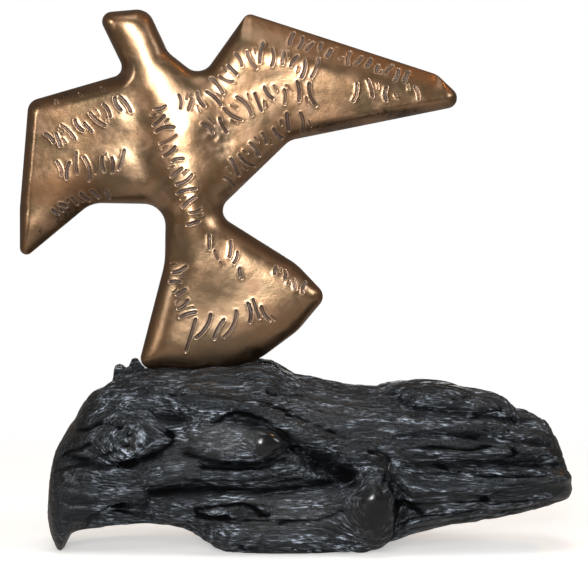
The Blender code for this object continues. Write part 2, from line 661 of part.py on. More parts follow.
def centre_over_origin(parent, parts):
    """Moves the whole work so that the ground under the middle of it is the origin."""
    bpy.context.view_layer.update()
    graph = bpy.context.evaluated_depsgraph_get()
    corners = []
    for part in parts:
        shown = part.evaluated_get(graph)
        corners += [shown.matrix_world @ v.co for v in shown.data.vertices]
    for axis in (0, 1):
        values = [corner[axis] for corner in corners]
        parent.location[axis] -= (min(values) + max(values)) / 2


def main():
    for obj in list(bpy.data.objects):
        bpy.data.objects.remove(obj)
    work = bpy.data.objects.new("dove_statue", None)
    bpy.context.scene.collection.objects.link(work)

    bronze = material("polished_bronze", (0.42, 0.26, 0.12), 0.28, 1.0)
    black_wood = material("blackened_root", (0.018, 0.019, 0.021), 0.38, 0.0)

    root_shape, real = root_mesh()
    foot = seat_place(root_shape, real)
    dove_shape = dove_mesh()
    seat = add_object("seat_cutter", seat_mesh(dove_shape), foot, work)
    arch = add_object("arch_cutter", arch_mesh(real), (0, 0, 0), work)
    ground = add_object("ground_cutter", ground_mesh(), (0, 0, 0), work)

    dove = add_object("dove", dove_shape, foot, work, bronze, smooth_below=40)
    root = add_object("root_base", root_shape, (0, 0, 0), work, black_wood, smooth_below=50)
    thin = root.modifiers.new("thin_out", "DECIMATE")
    thin.ratio = ROOT_TRIANGLES / (2 * ROOT_STATIONS * ROOT_SPOKES)
    for cutter in (arch, seat, ground):
        cut(root, cutter)
    centre_over_origin(work, (dove, root))


main()
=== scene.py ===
import math

import bpy
import numpy as np
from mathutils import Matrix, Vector
from mathutils.bvhtree import BVHTree
from mathutils.geometry import delaunay_2d_cdt


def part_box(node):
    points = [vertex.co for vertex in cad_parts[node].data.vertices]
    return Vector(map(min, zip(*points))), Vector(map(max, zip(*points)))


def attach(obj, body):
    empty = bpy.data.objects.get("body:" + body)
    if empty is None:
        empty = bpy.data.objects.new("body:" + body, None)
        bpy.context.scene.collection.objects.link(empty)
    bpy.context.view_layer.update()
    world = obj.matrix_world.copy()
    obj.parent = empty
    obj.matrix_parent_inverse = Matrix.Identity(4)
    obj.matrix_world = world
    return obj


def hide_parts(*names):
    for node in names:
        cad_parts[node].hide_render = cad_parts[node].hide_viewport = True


# Bronze dove on a blackened root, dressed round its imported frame.
# All lengths are metres; rows of the tables are percent of the dove's span or the root's length.

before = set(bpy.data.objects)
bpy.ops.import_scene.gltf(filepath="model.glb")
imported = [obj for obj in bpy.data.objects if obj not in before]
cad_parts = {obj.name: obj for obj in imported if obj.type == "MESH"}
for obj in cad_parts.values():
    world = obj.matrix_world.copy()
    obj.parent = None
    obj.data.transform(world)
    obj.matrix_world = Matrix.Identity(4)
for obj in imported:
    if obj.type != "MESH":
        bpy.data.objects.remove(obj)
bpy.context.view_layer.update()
print("frame loaded:", ", ".join(sorted(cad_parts)))


# Small helpers

def selectOnly(piece):
    bpy.ops.object.select_all(action="DESELECT")
    piece.select_set(True)
    bpy.context.view_layer.objects.active = piece


def pieceFrom(name, points, faces):
    data = bpy.data.meshes.new(name)
    data.from_pydata([tuple(p) for p in points], [], [tuple(int(i) for i in f) for f in faces])
    piece = bpy.data.objects.new(name, data)
    bpy.context.scene.collection.objects.link(piece)
    return piece


def placesOf(piece):
    flat = np.zeros(len(piece.data.vertices) * 3)
    piece.data.vertices.foreach_get("co", flat)
    return flat.reshape(-1, 3)


def normalsOf(piece):
    flat = np.zeros(len(piece.data.vertices) * 3, np.float32)
    piece.data.vertex_normals.foreach_get("vector", flat)
    return flat.reshape(-1, 3).astype(float)


def movePoints(piece, places):
    piece.data.vertices.foreach_set("co", places.ravel())
    piece.data.update()


def turnOutwards(piece):
    selectOnly(piece)
    bpy.ops.object.mode_set(mode="EDIT")
    bpy.ops.mesh.select_all(action="SELECT")
    bpy.ops.mesh.normals_make_consistent(inside=False)
    bpy.ops.object.mode_set(mode="OBJECT")


def paint(piece, **layers):
    # each layer becomes an attribute of the points
    for name, values in layers.items():
        values = np.asarray(values, np.float32)
        kind, slot = ("FLOAT_VECTOR", "vector") if values.ndim == 2 else ("FLOAT", "value")
        piece.data.attributes.new(name, kind, "POINT").data.foreach_set(slot, values.ravel())


def hashNoise(u, v, w, seed):
    # smooth value noise from -1 to 1, the same on every run
    iu, iv, iw = (np.floor(c).astype(np.int64) for c in (u, v, w))
    fu, fv, fw = u - iu, v - iv, w - iw
    fu, fv, fw = (f * f * f * (f * (f * 6 - 15) + 10) for f in (fu, fv, fw))
    total = np.zeros(len(u))
    for a in (0, 1):
        for b in (0, 1):
            for c in (0, 1):
                key = ((iu + a) * 73856093) ^ ((iv + b) * 19349663) ^ ((iw + c) * 83492791)
                key = (key ^ (seed * 2654435761)) & 0xFFFFFFFF
                key = ((key ^ (key >> 13)) * 1274126177) & 0xFFFFFFFF
                key = ((key ^ (key >> 16)) * 2246822519) & 0xFFFFFFFF
                corner = ((key >> 8) & 0xFFFF) / 32767.5 - 1
                weight = (fu if a else 1 - fu) * (fv if b else 1 - fv) * (fw if c else 1 - fw)
                total += corner * weight
    return total


def easeStep(value, low, high):
    t = np.clip((value - low) / (high - low), 0, 1)
    return t * t * (3 - 2 * t)


def alongLine(line, steps):
    lengths = np.r_[0, np.cumsum(np.linalg.norm(np.diff(line, axis=0), axis=1))]
    wanted = np.linspace(0, lengths[-1], steps)
    return np.stack([np.interp(wanted, lengths, column) for column in line.T], axis=1)


def between(first, second, t, start, end):
    return first * (end - t) / (end - start) + second * (t - start) / (end - start)


def curveThrough(points, steps):
    # a centripetal spline through the points, then evenly spaced steps along it
    rows = np.asarray(points, float)
    rows = np.vstack([2 * rows[0] - rows[1], rows, 2 * rows[-1] - rows[-2]])
    knots = np.r_[0, np.cumsum(np.linalg.norm(np.diff(rows, axis=0), axis=1) ** 0.5)]
    dense = []
    for i in range(1, len(rows) - 2):
        t0, t1, t2, t3 = knots[i - 1:i + 3]
        p0, p1, p2, p3 = rows[i - 1:i + 3]
        for t in np.linspace(t1, t2, 40, endpoint=False):
            a, b, c = between(p0, p1, t, t0, t1), between(p1, p2, t, t1, t2), between(p2, p3, t, t2, t3)
            dense.append(between(between(a, b, t, t0, t2), between(b, c, t, t1, t3), t, t1, t2))
    dense.append(rows[-2])
    return alongLine(np.array(dense), steps)


def distanceToLine(points, line):
    nearest = np.full(len(points), np.inf)
    for start, end in zip(line[:-1], line[1:]):
        run = end - start
        share = np.clip(((points - start) @ run) / max(run @ run, 1e-18), 0, 1)
        gap = points - start - share[:, None] * run
        nearest = np.minimum(nearest, gap[:, 0] ** 2 + gap[:, 1] ** 2)
    return np.sqrt(nearest)


def insideOf(points, loop):
    inside = np.zeros(len(points), bool)
    x, z = points[:, 0], points[:, 1]
    for (x0, z0), (x1, z1) in zip(loop, np.roll(loop, -1, axis=0)):
        if z0 != z1:
            crosses = (z0 > z) != (z1 > z)
            inside ^= crosses & (x < (x1 - x0) * (z - z0) / (z1 - z0) + x0)
    return inside


def nearTo(points, line, reach):
    return ((points > line.min(0) - reach) & (points < line.max(0) + reach)).all(axis=1)


def fillRim(rim, inner):
    # triangles over a closed rim and the points inside it, and the point that each corner came from
    count = len(rim)
    edges = [(i, (i + 1) % count) for i in range(count)]
    made, _, faces, origins, _, _ = delaunay_2d_cdt(
        [Vector(p) for p in np.vstack([rim, inner])], edges, [list(range(count))], 1, 1e-7)
    return made, faces, np.array([min(found) for found in origins])


def keepInBox(places, node):
    low, high = (np.array(corner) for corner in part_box(node))
    return np.clip(places, low, high)


def ovalGap(x, z, middleX, middleZ, reach, across, tilt=0.0):
    # squared distance from the middle of a leaning oval, 1 at its edge
    turn = math.radians(tilt)
    dx, dz = x - middleX, z - middleZ
    u = (dx * math.cos(turn) + dz * math.sin(turn)) / reach
    v = (dz * math.cos(turn) - dx * math.sin(turn)) / across
    return u * u + v * v


def spotsAt(x, z, rows, power):
    # the strongest of a table's soft spots: x, z, reach along, reach up, how much
    most = np.zeros(len(x))
    for spotX, spotZ, reach, up, amount in rows:
        most = np.maximum(most, amount * np.exp(-(ovalGap(x, z, spotX, spotZ, reach, up) ** power)))
    return most


# The dove

doveSettings = {
    "span": 0.292,
    "thickness": 0.044,  # through the breast
    "arcSteps": 24,
    "sweep": 0.012,  # the wing tips lie this far behind the breast
    "sweepReach": (60.0, 40.0),  # along the span, and the height where it sets in
    "foot": (-0.063177, 0.003456, 0.117071),  # the outline's zero in the row frame
    "breast": (-5.0, 51.0),
    "ridgeCrispness": 5.0,
    "edgeReach": 14.0,  # beyond this an edge soon stops holding the surface down
    "edgeRelease": 0.03,
    "rimStep": 0.0014,
    "faceStep": 0.0017,
    "backStep": 0.0022,
    "ringDepths": (0.00013, 0.00045, 0.00100, 0.0018, 0.0028, 0.0040),
    "rowShare": 0.866,  # height of a row of the grid for each step along it
    "ringShare": 0.92,  # a ring point is kept while it lies this far in
    "handWobble": 0.024,  # how uneven the modelling is, as a share of the thickness
    "wobbles": ((0.6, 0.030, 3), (0.3, 0.013, 4), (0.1, 0.006, 5)),  # share, size, seed
    "strokeWidth": 0.0025,
    "strokeDepth": 0.0013,
    "strokeSpace": 0.0009,
    "lip": 0.00016,  # metal pushed up beside a stroke
    "strokeLoops": (0.0, 0.45, 0.85, 1.08, 1.30, 1.62, 2.0),  # mm from a stroke's middle
    "strokeStep": 0.00085,
    "strokeCell": 0.00022,
    "strokeRoom": (0.0020, 0.4),  # kept free of the grid round a stroke, and in steps
    "rimRoom": 0.0006,
    "tickWidth": 0.0016,
    "tickDepth": 0.0008,
    "tickSpace": 0.0006,
    "strokeFade": (0.0005, 0.003),  # strokes run out towards the rim
    "rimBrown": (0.001, 0.009),  # darker brown along the rim
    "dug": (0.00035, 0.00045),  # the worked patch: how deep, and how rough
    "dugGrains": ((1.0, 0.0042, 0.0030, 6), (0.5, 0.0022, 0.0019, 7)),
}

# how unevenly the hand set the marks, as shares of a row's height or in degrees
markHand = {
    "length": (0.78, 0.22), "sway": 16, "lift": 0.16, "bow": 0.11,
    "tickSway": 24, "tickLift": 0.3, "tickLength": 0.26,
}

doveCorners = (
    # edge, x, z, corner radius, clockwise from the crown
    ("crown", -23.7, 82.2, 2.3),
    ("neck", -12.0, 83.2, 4.1),
    ("neck", -7.4, 73.3, 4.6),
    ("shoulder", 0.0, 67.4, 3.7),
    ("brow", 10.6, 82.2, 1.8),
    ("tip", 54.1, 68.3, 4.6),
    ("trail", 61.4, 61.5, 2.4),
    ("flank", 20.3, 53.2, 4.6),
    ("fan", 3.2, 36.7, 3.0),
    ("fan", 21.9, 24.9, 13.7),
    ("foot", 28.8, 17.6, 2.7),
    ("foot", 22.1, 9.6, 13.7),
    ("foot", 13.2, 3.0, 13.7),
    ("foot", 2.3, -0.3, 18.3),
    ("tailSide", -14.6, 1.1, 2.5),
    ("waist", -8.3, 25.3, 18.3),
    ("underWing", -8.1, 38.6, 5.0),
    ("drop", -25.1, 38.9, 6.8),
    ("outer", -41.6, 25.3, 1.55),
    ("outer", -41.6, 37.7, 22.8),
    ("lead", -39.5, 62.1, 3.0),
    ("neck", -17.1, 68.5, 2.3),
)

edgeProfiles = {
    # edge: wide, high, roundness, rise
    "crown": (6.0, 5.2, 2.0, 0.02),
    "neck": (6.8, 5.7, 2.0, 0.02),
    "shoulder": (7.0, 5.6, 1.8, 0.03),
    "lead": (3.6, 3.9, 1.25, 0.05),
    "brow": (12.0, 6.2, 1.2, 0.00),
    "tip": (3.4, 3.0, 2.0, 0.12),
    "trail": (2.6, 3.3, 1.35, 0.10),
    "flank": (11.0, 5.4, 1.7, 0.08),
    "fan": (7.4, 4.9, 1.8, 0.02),
    "foot": (11.0, 4.9, 1.8, 0.02),
    "tailSide": (13.0, 5.4, 1.7, 0.02),
    "waist": (8.0, 5.0, 1.8, 0.02),
    "underWing": (12.0, 5.6, 1.7, 0.03),
    "drop": (12.0, 4.1, 1.5, 0.06),
    "outer": (2.4, 2.8, 1.25, 0.12),
}

# swells of the body and the soft valley beside it: path, reach, share added
bodySwells = (
    ((
        (-17.2, 80.5), (-14.6, 75.0), (-11.4, 69.0), (-8.0, 62.0), (-5.0, 54.0), (-3.6, 47.0), (-3.0, 38.0),
    ), 8.2, 0.38),
    (((-19.0, 57.5), (-18.6, 49.5)), 5.0, 0.07),
    (((-14.4, 60.5), (-12.4, 47.0)), 3.2, -0.05),
    (((-3.2, 36.0), (-2.0, 27.0)), 6.0, 0.11),
    (((5.0, 24.0), (9.5, 15.0)), 8.0, 0.07),
)

# rows of plain cut strokes: path, how many, height, lean in degrees
frontRows = (
    (((-36.5, 61.6), (-21.0, 65.9)), 9, 2.3, 20),
    (((-34.5, 53.0), (-25.5, 56.8), (-16.5, 62.0)), 14, 4.3, 8),
    (((-33.0, 46.5), (-25.0, 47.6), (-17.0, 48.2)), 8, 5.2, -6),
    (((-34.5, 36.5), (-27.5, 40.0), (-20.0, 41.3)), 6, 2.2, 30),
    (((-10.0, 61.5), (-7.5, 54.0), (-5.0, 47.0), (-2.4, 40.0), (-0.6, 33.5)), 12, 4.2, 8),
    (((-5.8, 62.0), (1.0, 62.0), (5.0, 66.2), (9.0, 71.0), (16.0, 72.4), (27.0, 68.5)), 15, 4.4, 0),
    (((1.0, 54.5), (6.5, 58.2), (12.5, 62.2), (19.0, 63.8), (27.0, 63.6)), 9, 5.0, 8),
    (((5.0, 43.0), (9.5, 48.0), (15.0, 53.5), (21.0, 57.2), (27.5, 58.6)), 9, 4.2, -8),
    (((19.5, 76.4), (34.0, 72.0), (48.0, 67.2)), 13, 2.7, -10),
    (((33.5, 64.6), (42.0, 64.3), (51.0, 64.0)), 5, 4.0, 4),
    (((-5.2, 27.5), (-5.0, 19.5), (-2.2, 12.5)), 6, 3.6, 10),
    (((1.6, 30.5), (5.2, 24.6)), 4, 3.2, 70),
    (((6.2, 30.0), (9.6, 22.4)), 3, 3.6, 60),
    (((-5.0, 9.8), (9.5, 11.0)), 7, 7.6, -24),
    (((10.0, 15.0), (17.5, 13.4)), 4, 4.4, 30),
    (((16.0, 24.6), (24.5, 18.6)), 4, 2.4, 35),
)
backRows = (
    (((-33.0, 50.0), (-17.0, 55.0)), 8, 4.0, 6),
    (((8.0, 60.0), (32.0, 63.0)), 10, 4.0, -6),
)
workedPatch = (3.4, 53.4, 3.6, 4.6)  # the roughly dug place beside the breast: x, z, half sizes

# soft spots of painted shade, and of speckled soot: x, z, reach along, reach up, how much
# painted shade: the lower left wing, the right of the neck, the lower right wing and the tail are painted
# browner
brownSpots = (
    (-30.0, 41.0, 13.0, 5.0, 1.0), (-9.5, 78.0, 2.6, 7.0, 0.70), (28.0, 56.0, 17.0, 3.6, 0.65),
    (1.0, 14.0, 13.0, 14.0, 0.30), (12.0, 14.0, 12.0, 8.0, 0.40), (11.0, 46.0, 5.0, 5.0, 0.45),
    (-10.0, 14.0, 4.5, 15.0, 0.65),
)
# painted shade: the middle of the tail is painted dimmer
dimSpots = ((2.0, 12.0, 12.5, 13.0, 0.95),)
# soot specks, with painted shade on the lower edges, the lower facet of the right wing and the top facet of
# the left wing
sootSpots = (
    (-31.5, 37.0, 6.0, 4.0, 1.0), (-36.0, 30.0, 3.0, 5.0, 0.9), (-24.0, 41.0, 5.0, 2.6, 0.6),
    (20.0, 50.5, 7.0, 2.4, 0.5), (-30.0, 63.5, 9.0, 2.4, 0.75), (1.8, 37.5, 2.0, 3.0, 0.5),
    (46.0, 59.3, 10.0, 2.0, 1.0), (31.0, 56.4, 9.0, 2.0, 0.9), (10.0, 3.5, 9.0, 2.6, 0.6),
    (22.0, 9.0, 4.0, 4.0, 0.5),
)

doveUnit = doveSettings["span"] / 100


def roundedOutline():
    # one chain of points for each edge, from the middle of one rounded corner to the next
    spots = [Vector((x, z)) * doveUnit for _, x, z, _ in doveCorners]
    steps = doveSettings["arcSteps"]
    halves = []
    for i, (_, _, _, radius) in enumerate(doveCorners):
        spot = spots[i]
        toLast = (spots[i - 1] - spot).normalized()
        toNext = (spots[(i + 1) % len(spots)] - spot).normalized()
        opening = toLast.angle(toNext)
        reach = radius * doveUnit / math.tan(opening / 2)
        centre = spot + (toLast + toNext).normalized() * (radius * doveUnit / math.sin(opening / 2))
        first, last = spot + toLast * reach, spot + toNext * reach
        turn = (first - centre).angle_signed(last - centre)
        arm = first - centre
        arc = []
        for k in range(steps + 1):
            angle = -turn * k / steps
            arc.append((
                centre.x + arm.x * math.cos(angle) - arm.y * math.sin(angle),
                centre.y + arm.x * math.sin(angle) + arm.y * math.cos(angle),
            ))
        halves.append((arc[:steps // 2 + 1], arc[steps // 2:]))
    return [
        (edge, np.array(halves[i][1] + halves[(i + 1) % len(halves)][0]))
        for i, (edge, _, _, _) in enumerate(doveCorners)
    ]


def reliefFrom(away, points):
    # half the thickness at each point, from its distance to every edge of the outline
    crispness = doveSettings["ridgeCrispness"]
    total = np.zeros(len(points))
    for (edge, _), distance in zip(doveChains, away):
        wide, high, roundness, rise = edgeProfiles[edge]
        share = np.clip(distance / doveUnit / wide, 0, 1)
        height = high * (1 - (1 - share) ** roundness) ** (1 / roundness)
        height += rise * np.maximum(distance / doveUnit - wide, 0)
        beyond = np.maximum(distance / doveUnit - doveSettings["edgeReach"], 0)
        height += doveSettings["edgeRelease"] * beyond ** 2
        total += np.maximum(height, 1e-6) ** -crispness
    swell = np.ones(len(points))
    for path, reach, share in bodySwells:
        gap = distanceToLine(points, curveThrough(np.array(path) * doveUnit, 12)) / (reach * doveUnit)
        swell += share * np.exp(-(gap ** 2))
    return total ** (-1 / crispness) * swell * doveUnit


def edgeDistances(points):
    return np.array([distanceToLine(points, chain) for _, chain in doveChains])


def sweepAt(points):
    along, up = doveSettings["sweepReach"]
    reach = (points[:, 0] - doveSettings["breast"][0] * doveUnit) / (along * doveUnit)
    return doveSettings["sweep"] * reach ** 2 * np.clip(points[:, 1] / (up * doveUnit), 0, 1)


def markWay(line, spot, degrees):
    # the way a mark points, turned by so many degrees from its row
    ahead = line[spot + 1] - line[spot - 1]
    angle = math.atan2(ahead[1], ahead[0]) + math.radians(degrees)
    return np.array((math.cos(angle), math.sin(angle)))


def rowStrokes(path, count, height, lean):
    # the sines only keep the strokes of a row from looking alike
    line = curveThrough(np.array(path) * doveUnit, 2 * count + 1)
    least, more = markHand["length"]
    strokes = []
    for k in range(count):
        along = markWay(line, 2 * k + 1, 90 + lean + markHand["sway"] * math.sin(2.3 * k + count))
        across = np.array((-along[1], along[0]))
        length = height * doveUnit * (least + more * math.sin(5.1 * k + 1.7 * height + 0.3 * count))
        lift = height * doveUnit * markHand["lift"] * math.sin(3.7 * k + lean)
        middle = line[2 * k + 1] + along * lift
        bow = length * markHand["bow"] * math.sin(1.9 * k + height)
        strokes.append(np.array([
            middle - along * length / 2, middle + across * bow, middle + along * length / 2,
        ]))
    return strokes


def rowTicks(path, count, height, lean):
    # short light marks in the gaps of a row, near its top or its bottom
    line = curveThrough(np.array(path) * doveUnit, 2 * count + 1)
    length = height * doveUnit * markHand["tickLength"]
    ticks = []
    for k in range(1, count):
        along = markWay(line, 2 * k, 90 + lean + markHand["tickSway"] * math.sin(1.3 * k + height))
        side = 1 if math.sin(4.1 * k + count) > 0 else -1
        middle = line[2 * k] + along * side * height * doveUnit * markHand["tickLift"]
        ticks.append(np.array([middle - along * length / 2, middle, middle + along * length / 2]))
    return ticks


def bowOf(stroke):
    # a stroke's three points as a smooth bow
    start, middle, end = stroke
    pull = 2 * middle - (start + end) / 2
    steps = max(5, int(np.linalg.norm(end - start) / doveSettings["strokeStep"]))
    t = np.linspace(0, 1, steps)[:, None]
    return start * (1 - t) ** 2 + pull * 2 * t * (1 - t) + end * t ** 2


def marksOf(rows):
    # strokes first, then the ticks that still find room
    rim = np.vstack([chain for _, chain in doveChains])
    wide, thin = doveSettings["strokeWidth"], doveSettings["tickWidth"]
    clear = wide + doveSettings["strokeSpace"]
    kept = []
    for makeMarks, width, depth, apart, samples in (
        (rowStrokes, wide, doveSettings["strokeDepth"], clear, 9),
        (rowTicks, thin, doveSettings["tickDepth"], (wide + thin) / 2 + doveSettings["tickSpace"], 5),
    ):
        for row in rows:
            for mark in makeMarks(*row):
                spots = alongLine(mark, samples)
                free = distanceToLine(spots, rim).min() >= clear
                if free and all(distanceToLine(spots, other).min() >= apart for other, _, _ in kept):
                    kept.append((mark, width / 2, depth))
    return [(bowOf(mark), half, depth) for mark, half, depth in kept]


def loopsRound(bow, half):
    # points in rings round a stroke, close enough to carry its round groove
    ahead = np.gradient(bow, axis=0)
    ahead /= np.linalg.norm(ahead, axis=1)[:, None]
    across = np.stack([-ahead[:, 1], ahead[:, 0]], axis=1)
    points = [bow]
    for gap in doveSettings["strokeLoops"][1:]:
        gap = gap / 1000 * half / (doveSettings["strokeWidth"] / 2)
        points += [bow + across * gap, bow - across * gap]
        for end, way in ((bow[0], -ahead[0]), (bow[-1], ahead[-1])):
            turn = math.atan2(way[1], way[0])
            count = max(2, int(math.pi * gap / doveSettings["strokeStep"]))
            angles = turn + np.linspace(-math.pi / 2, math.pi / 2, count + 2)[1:-1]
            points.append(end + gap * np.stack([np.cos(angles), np.sin(angles)], axis=1))
    return np.vstack(points)


def thinned(points, gap):
    # one point for each little cell, in the order given
    _, first = np.unique(np.round(points / gap).astype(np.int64), axis=0, return_index=True)
    return points[np.sort(first)]


def doveSheet(rim, marks, step):
    # one side's points and triangles: rim, rings inside it, an even grid and loops round the strokes
    ahead = np.roll(rim, -1, axis=0) - np.roll(rim, 1, axis=0)
    inward = np.stack([-ahead[:, 1], ahead[:, 0]], axis=1)
    area = np.sum(rim[:, 0] * np.roll(rim[:, 1], -1) - np.roll(rim[:, 0], -1) * rim[:, 1])
    inward *= math.copysign(1, area) / np.linalg.norm(inward, axis=1)[:, None]
    ringDepths = doveSettings["ringDepths"]
    rings = np.vstack([rim + inward * depth for depth in ringDepths])
    low, high = rim.min(0), rim.max(0)
    grid = []
    for k, z in enumerate(np.arange(low[1], high[1], step * doveSettings["rowShare"])):
        grid += [(x, z) for x in np.arange(low[0] + step / 2 * (k % 2), high[0], step)]
    grid = np.array(grid)
    grid = grid[insideOf(grid, rim)]

    candidates = np.vstack([rings, grid])
    away = edgeDistances(candidates)
    ringLeast = doveSettings["ringShare"] * np.repeat(ringDepths, len(rim))
    least = np.r_[ringLeast, np.full(len(grid), ringDepths[-1] + 0.5 * step)]
    fromStroke = np.full(len(candidates), np.inf)
    for bow, half, _ in marks:
        near = nearTo(candidates, bow, 0.006)
        # the loops of a narrow mark reach less far
        narrower = (half - doveSettings["strokeWidth"] / 2) * 1.6
        gap = distanceToLine(candidates[near], bow[::2]) - narrower
        fromStroke[near] = np.minimum(fromStroke[near], gap)
    room, roomSteps = doveSettings["strokeRoom"]
    fits = (away.min(0) > least) & (fromStroke > room + roomSteps * step)
    loops = np.vstack([loopsRound(bow, half) for bow, half, _ in marks])
    loops = thinned(loops, doveSettings["strokeCell"])
    loopsAway = edgeDistances(loops)
    clear = loopsAway.min(0) > doveSettings["rimRoom"]

    inner = np.vstack([candidates[fits], loops[clear]])
    allAway = np.hstack([edgeDistances(rim), away[:, fits], loopsAway[:, clear]])
    _, faces, source = fillRim(rim, inner)
    return np.vstack([rim, inner])[source], allAway[:, source], source, faces


def grooveAt(points, marks):
    # how deep the strokes cut, and where their lips stand, each mark a little different
    depth = np.zeros(len(points))
    lip = np.zeros(len(points))
    for number, (bow, half, full) in enumerate(marks):
        near = nearTo(points, bow, 0.004)
        gap = distanceToLine(points[near], bow)
        span = half * (0.94 + 0.10 * math.sin(2.7 * number))
        full = full * (0.92 + 0.14 * math.sin(1.9 * number + 1))
        cut = full * np.clip(1 - (gap / span) ** 2, 0, 1) ** 0.75
        rise = np.exp(-(((gap - span * 1.22) / (span * 0.26)) ** 2)) * (gap > span * 0.8)
        depth[near] = np.maximum(depth[near], cut)
        lip[near] = np.maximum(lip[near], rise)
    return depth, lip * (depth < 1e-5)


def makeDove():
    breast = np.array([doveSettings["breast"]]) * doveUnit
    scale = doveSettings["thickness"] / 2 / reliefFrom(edgeDistances(breast), breast)[0]
    line = np.vstack([chain[:-1] for _, chain in doveChains])
    line = np.vstack([line, line[:1]])
    around = np.linalg.norm(np.diff(line, axis=0), axis=1).sum()
    rim = alongLine(line, int(around / doveSettings["rimStep"]) + 1)[:-1]
    rimNumbers = np.zeros(len(rim), int)
    places, faces, notes = [], [], []
    for side, rows, step in (
        (-1, frontRows, doveSettings["faceStep"]), (1, backRows, doveSettings["backStep"]),
    ):
        marks = marksOf(rows)
        points, away, source, triangles = doveSheet(rim, marks, step)
        half = reliefFrom(away, points) * scale
        onRim = source < len(rim)
        half[onRim] = 0.0
        u, v = points.T
        sideways = np.full(len(u), 7.3 * side)  # so that the two sides differ
        wobble = sum(share * hashNoise(u / size, v / size, sideways, seed)
                     for share, size, seed in doveSettings["wobbles"])
        half *= 1 - doveSettings["handWobble"] * (1 + wobble)
        patch = np.zeros(len(u))
        if side < 0:
            patch = np.exp(-(ovalGap(u / doveUnit, v / doveUnit, *workedPatch) ** 2))
            rough = sum(share * hashNoise(u / wide, v / high, sideways, seed)
                        for share, wide, high, seed in doveSettings["dugGrains"])
            half -= patch * (doveSettings["dug"][0] + doveSettings["dug"][1] * rough)
        depth, lip = grooveAt(points, marks)
        nearest = away.min(0)
        fade = easeStep(nearest, *doveSettings["strokeFade"])
        depth, lip = np.minimum(depth * fade, 0.7 * half), lip * fade
        sweep = sweepAt(points)
        y = np.where(onRim, sweep, sweep + side * (half - depth + lip * doveSettings["lip"]))
        # the back shares the points of the front's rim
        fresh = ~onRim if side > 0 else np.ones(len(points), bool)
        numbers = np.zeros(len(points), int)
        numbers[fresh] = sum(len(part) for part in places) + np.arange(fresh.sum())
        if side < 0:
            rimNumbers[source[onRim]] = numbers[onRim]
        else:
            numbers[onRim] = rimNumbers[source[onRim]]
        places.append(np.stack([u, y, v], axis=1)[fresh])
        cut = easeStep(depth / doveSettings["strokeDepth"], 0.25, 0.95)
        notes.append(np.stack([cut, lip, patch, nearest], axis=1)[fresh])
        for face in triangles:
            corners = [int(numbers[i]) for i in face]
            faces.append(corners if side < 0 else corners[::-1])
    flat = np.vstack(places)
    piece = pieceFrom("castDove", keepInBox(flat + np.array(doveSettings["foot"]), "dove"), faces)
    turnOutwards(piece)
    bpy.ops.object.shade_smooth()
    return piece, flat, np.vstack(notes)


def doveTints(piece, flat, notes):
    # where the bronze is painted browner or dimmer, mostly as shade, and where soot and painted shade lie
    x, z = flat[:, 0] / doveUnit, flat[:, 2] / doveUnit
    cut, lip, patch, nearest = notes.T
    # painted shade: faces that turn upwards are painted browner
    upward = easeStep(normalsOf(piece)[:, 2], 0.14, 0.55)
    rimBrown = 1 - easeStep(nearest, *doveSettings["rimBrown"])
    brown = np.maximum(0.8 * upward, 0.75 * rimBrown)
    paint(
        # painted highlight on the raised lips beside the strokes; the dug patch is lightened too
        piece, cutMask=cut, lipMask=np.maximum(lip, 0.55 * patch),
        brownMask=np.maximum(brown, spotsAt(x, z, brownSpots, 2)),
        dimMask=spotsAt(x, z, dimSpots, 2), sootMask=spotsAt(x, z, sootSpots, 1),
    )


doveChains = roundedOutline()
dovePiece, doveFlat, doveNotes = makeDove()
doveTints(dovePiece, doveFlat, doveNotes)
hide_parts("dove")
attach(dovePiece, "root")
print("dove modelled:", sum(len(p.vertices) - 2 for p in dovePiece.data.polygons), "triangles")


# The root

rootSettings = {
    "unit": (0.0035, 0.003028, 0.0035056),  # metres for one percent along, across and up
    "corner": (-0.165377, 0.001033, 0.0),
    "stations": 232,
    "spokes": 356,
    "squareness": (2.2, 2.8),  # of the upper and the lower half
    "waves": ((5.2, 0.40), (3.1, 0.26)),  # width across the grain and height
    "sawnEnds": (9.0, 95.0),
    "capShares": (0.90, 0.74, 0.55, 0.36, 0.18, 0.04),  # rings that close an end
    "ropeRelief": 0.0017,
    "ropes": ((0.9, 0.052, 0.0052, 12), (0.5, 0.028, 0.0031, 13)),  # share, length, width, seed
    "fibreRelief": 0.00030,
    "fibres": (0.016, 0.0017, 14),
    "flakeRelief": 0.00080,
    "flakes": ((2.2, 0.040, 0.010, 15), (0.6, 0.018, 0.005, 16)),
    "splitDepth": 0.0026,
    "splits": (0.085, 0.0095, 17),
    "splitWidth": 0.085,
    "creaseDepth": 0.0021,
    "burl": (16.4, 22.2, 6.2, 4.2),  # the curled grain at the left: x, z, half sizes
    "burlRelief": (0.00055, 0.00035),  # of its rings, and of the grit on them
    "raggedness": 0.35,  # how far a crease strays from its line
    "seatGap": 0.00035,
    "seatReach": 0.0006,  # a point gives way when the foot is this near to it
    "archWall": 5.2,
    "archLayers": (-30.0, -17.5, 9),  # mouth, first fine layer, how many to the wall
    "archSteps": 120,
    "archGrid": (0.5, 0.34, 0.2),  # steps along and up, and the space left at the rim
    "archTaper": 0.86,
    "archMerge": 0.00004,
}

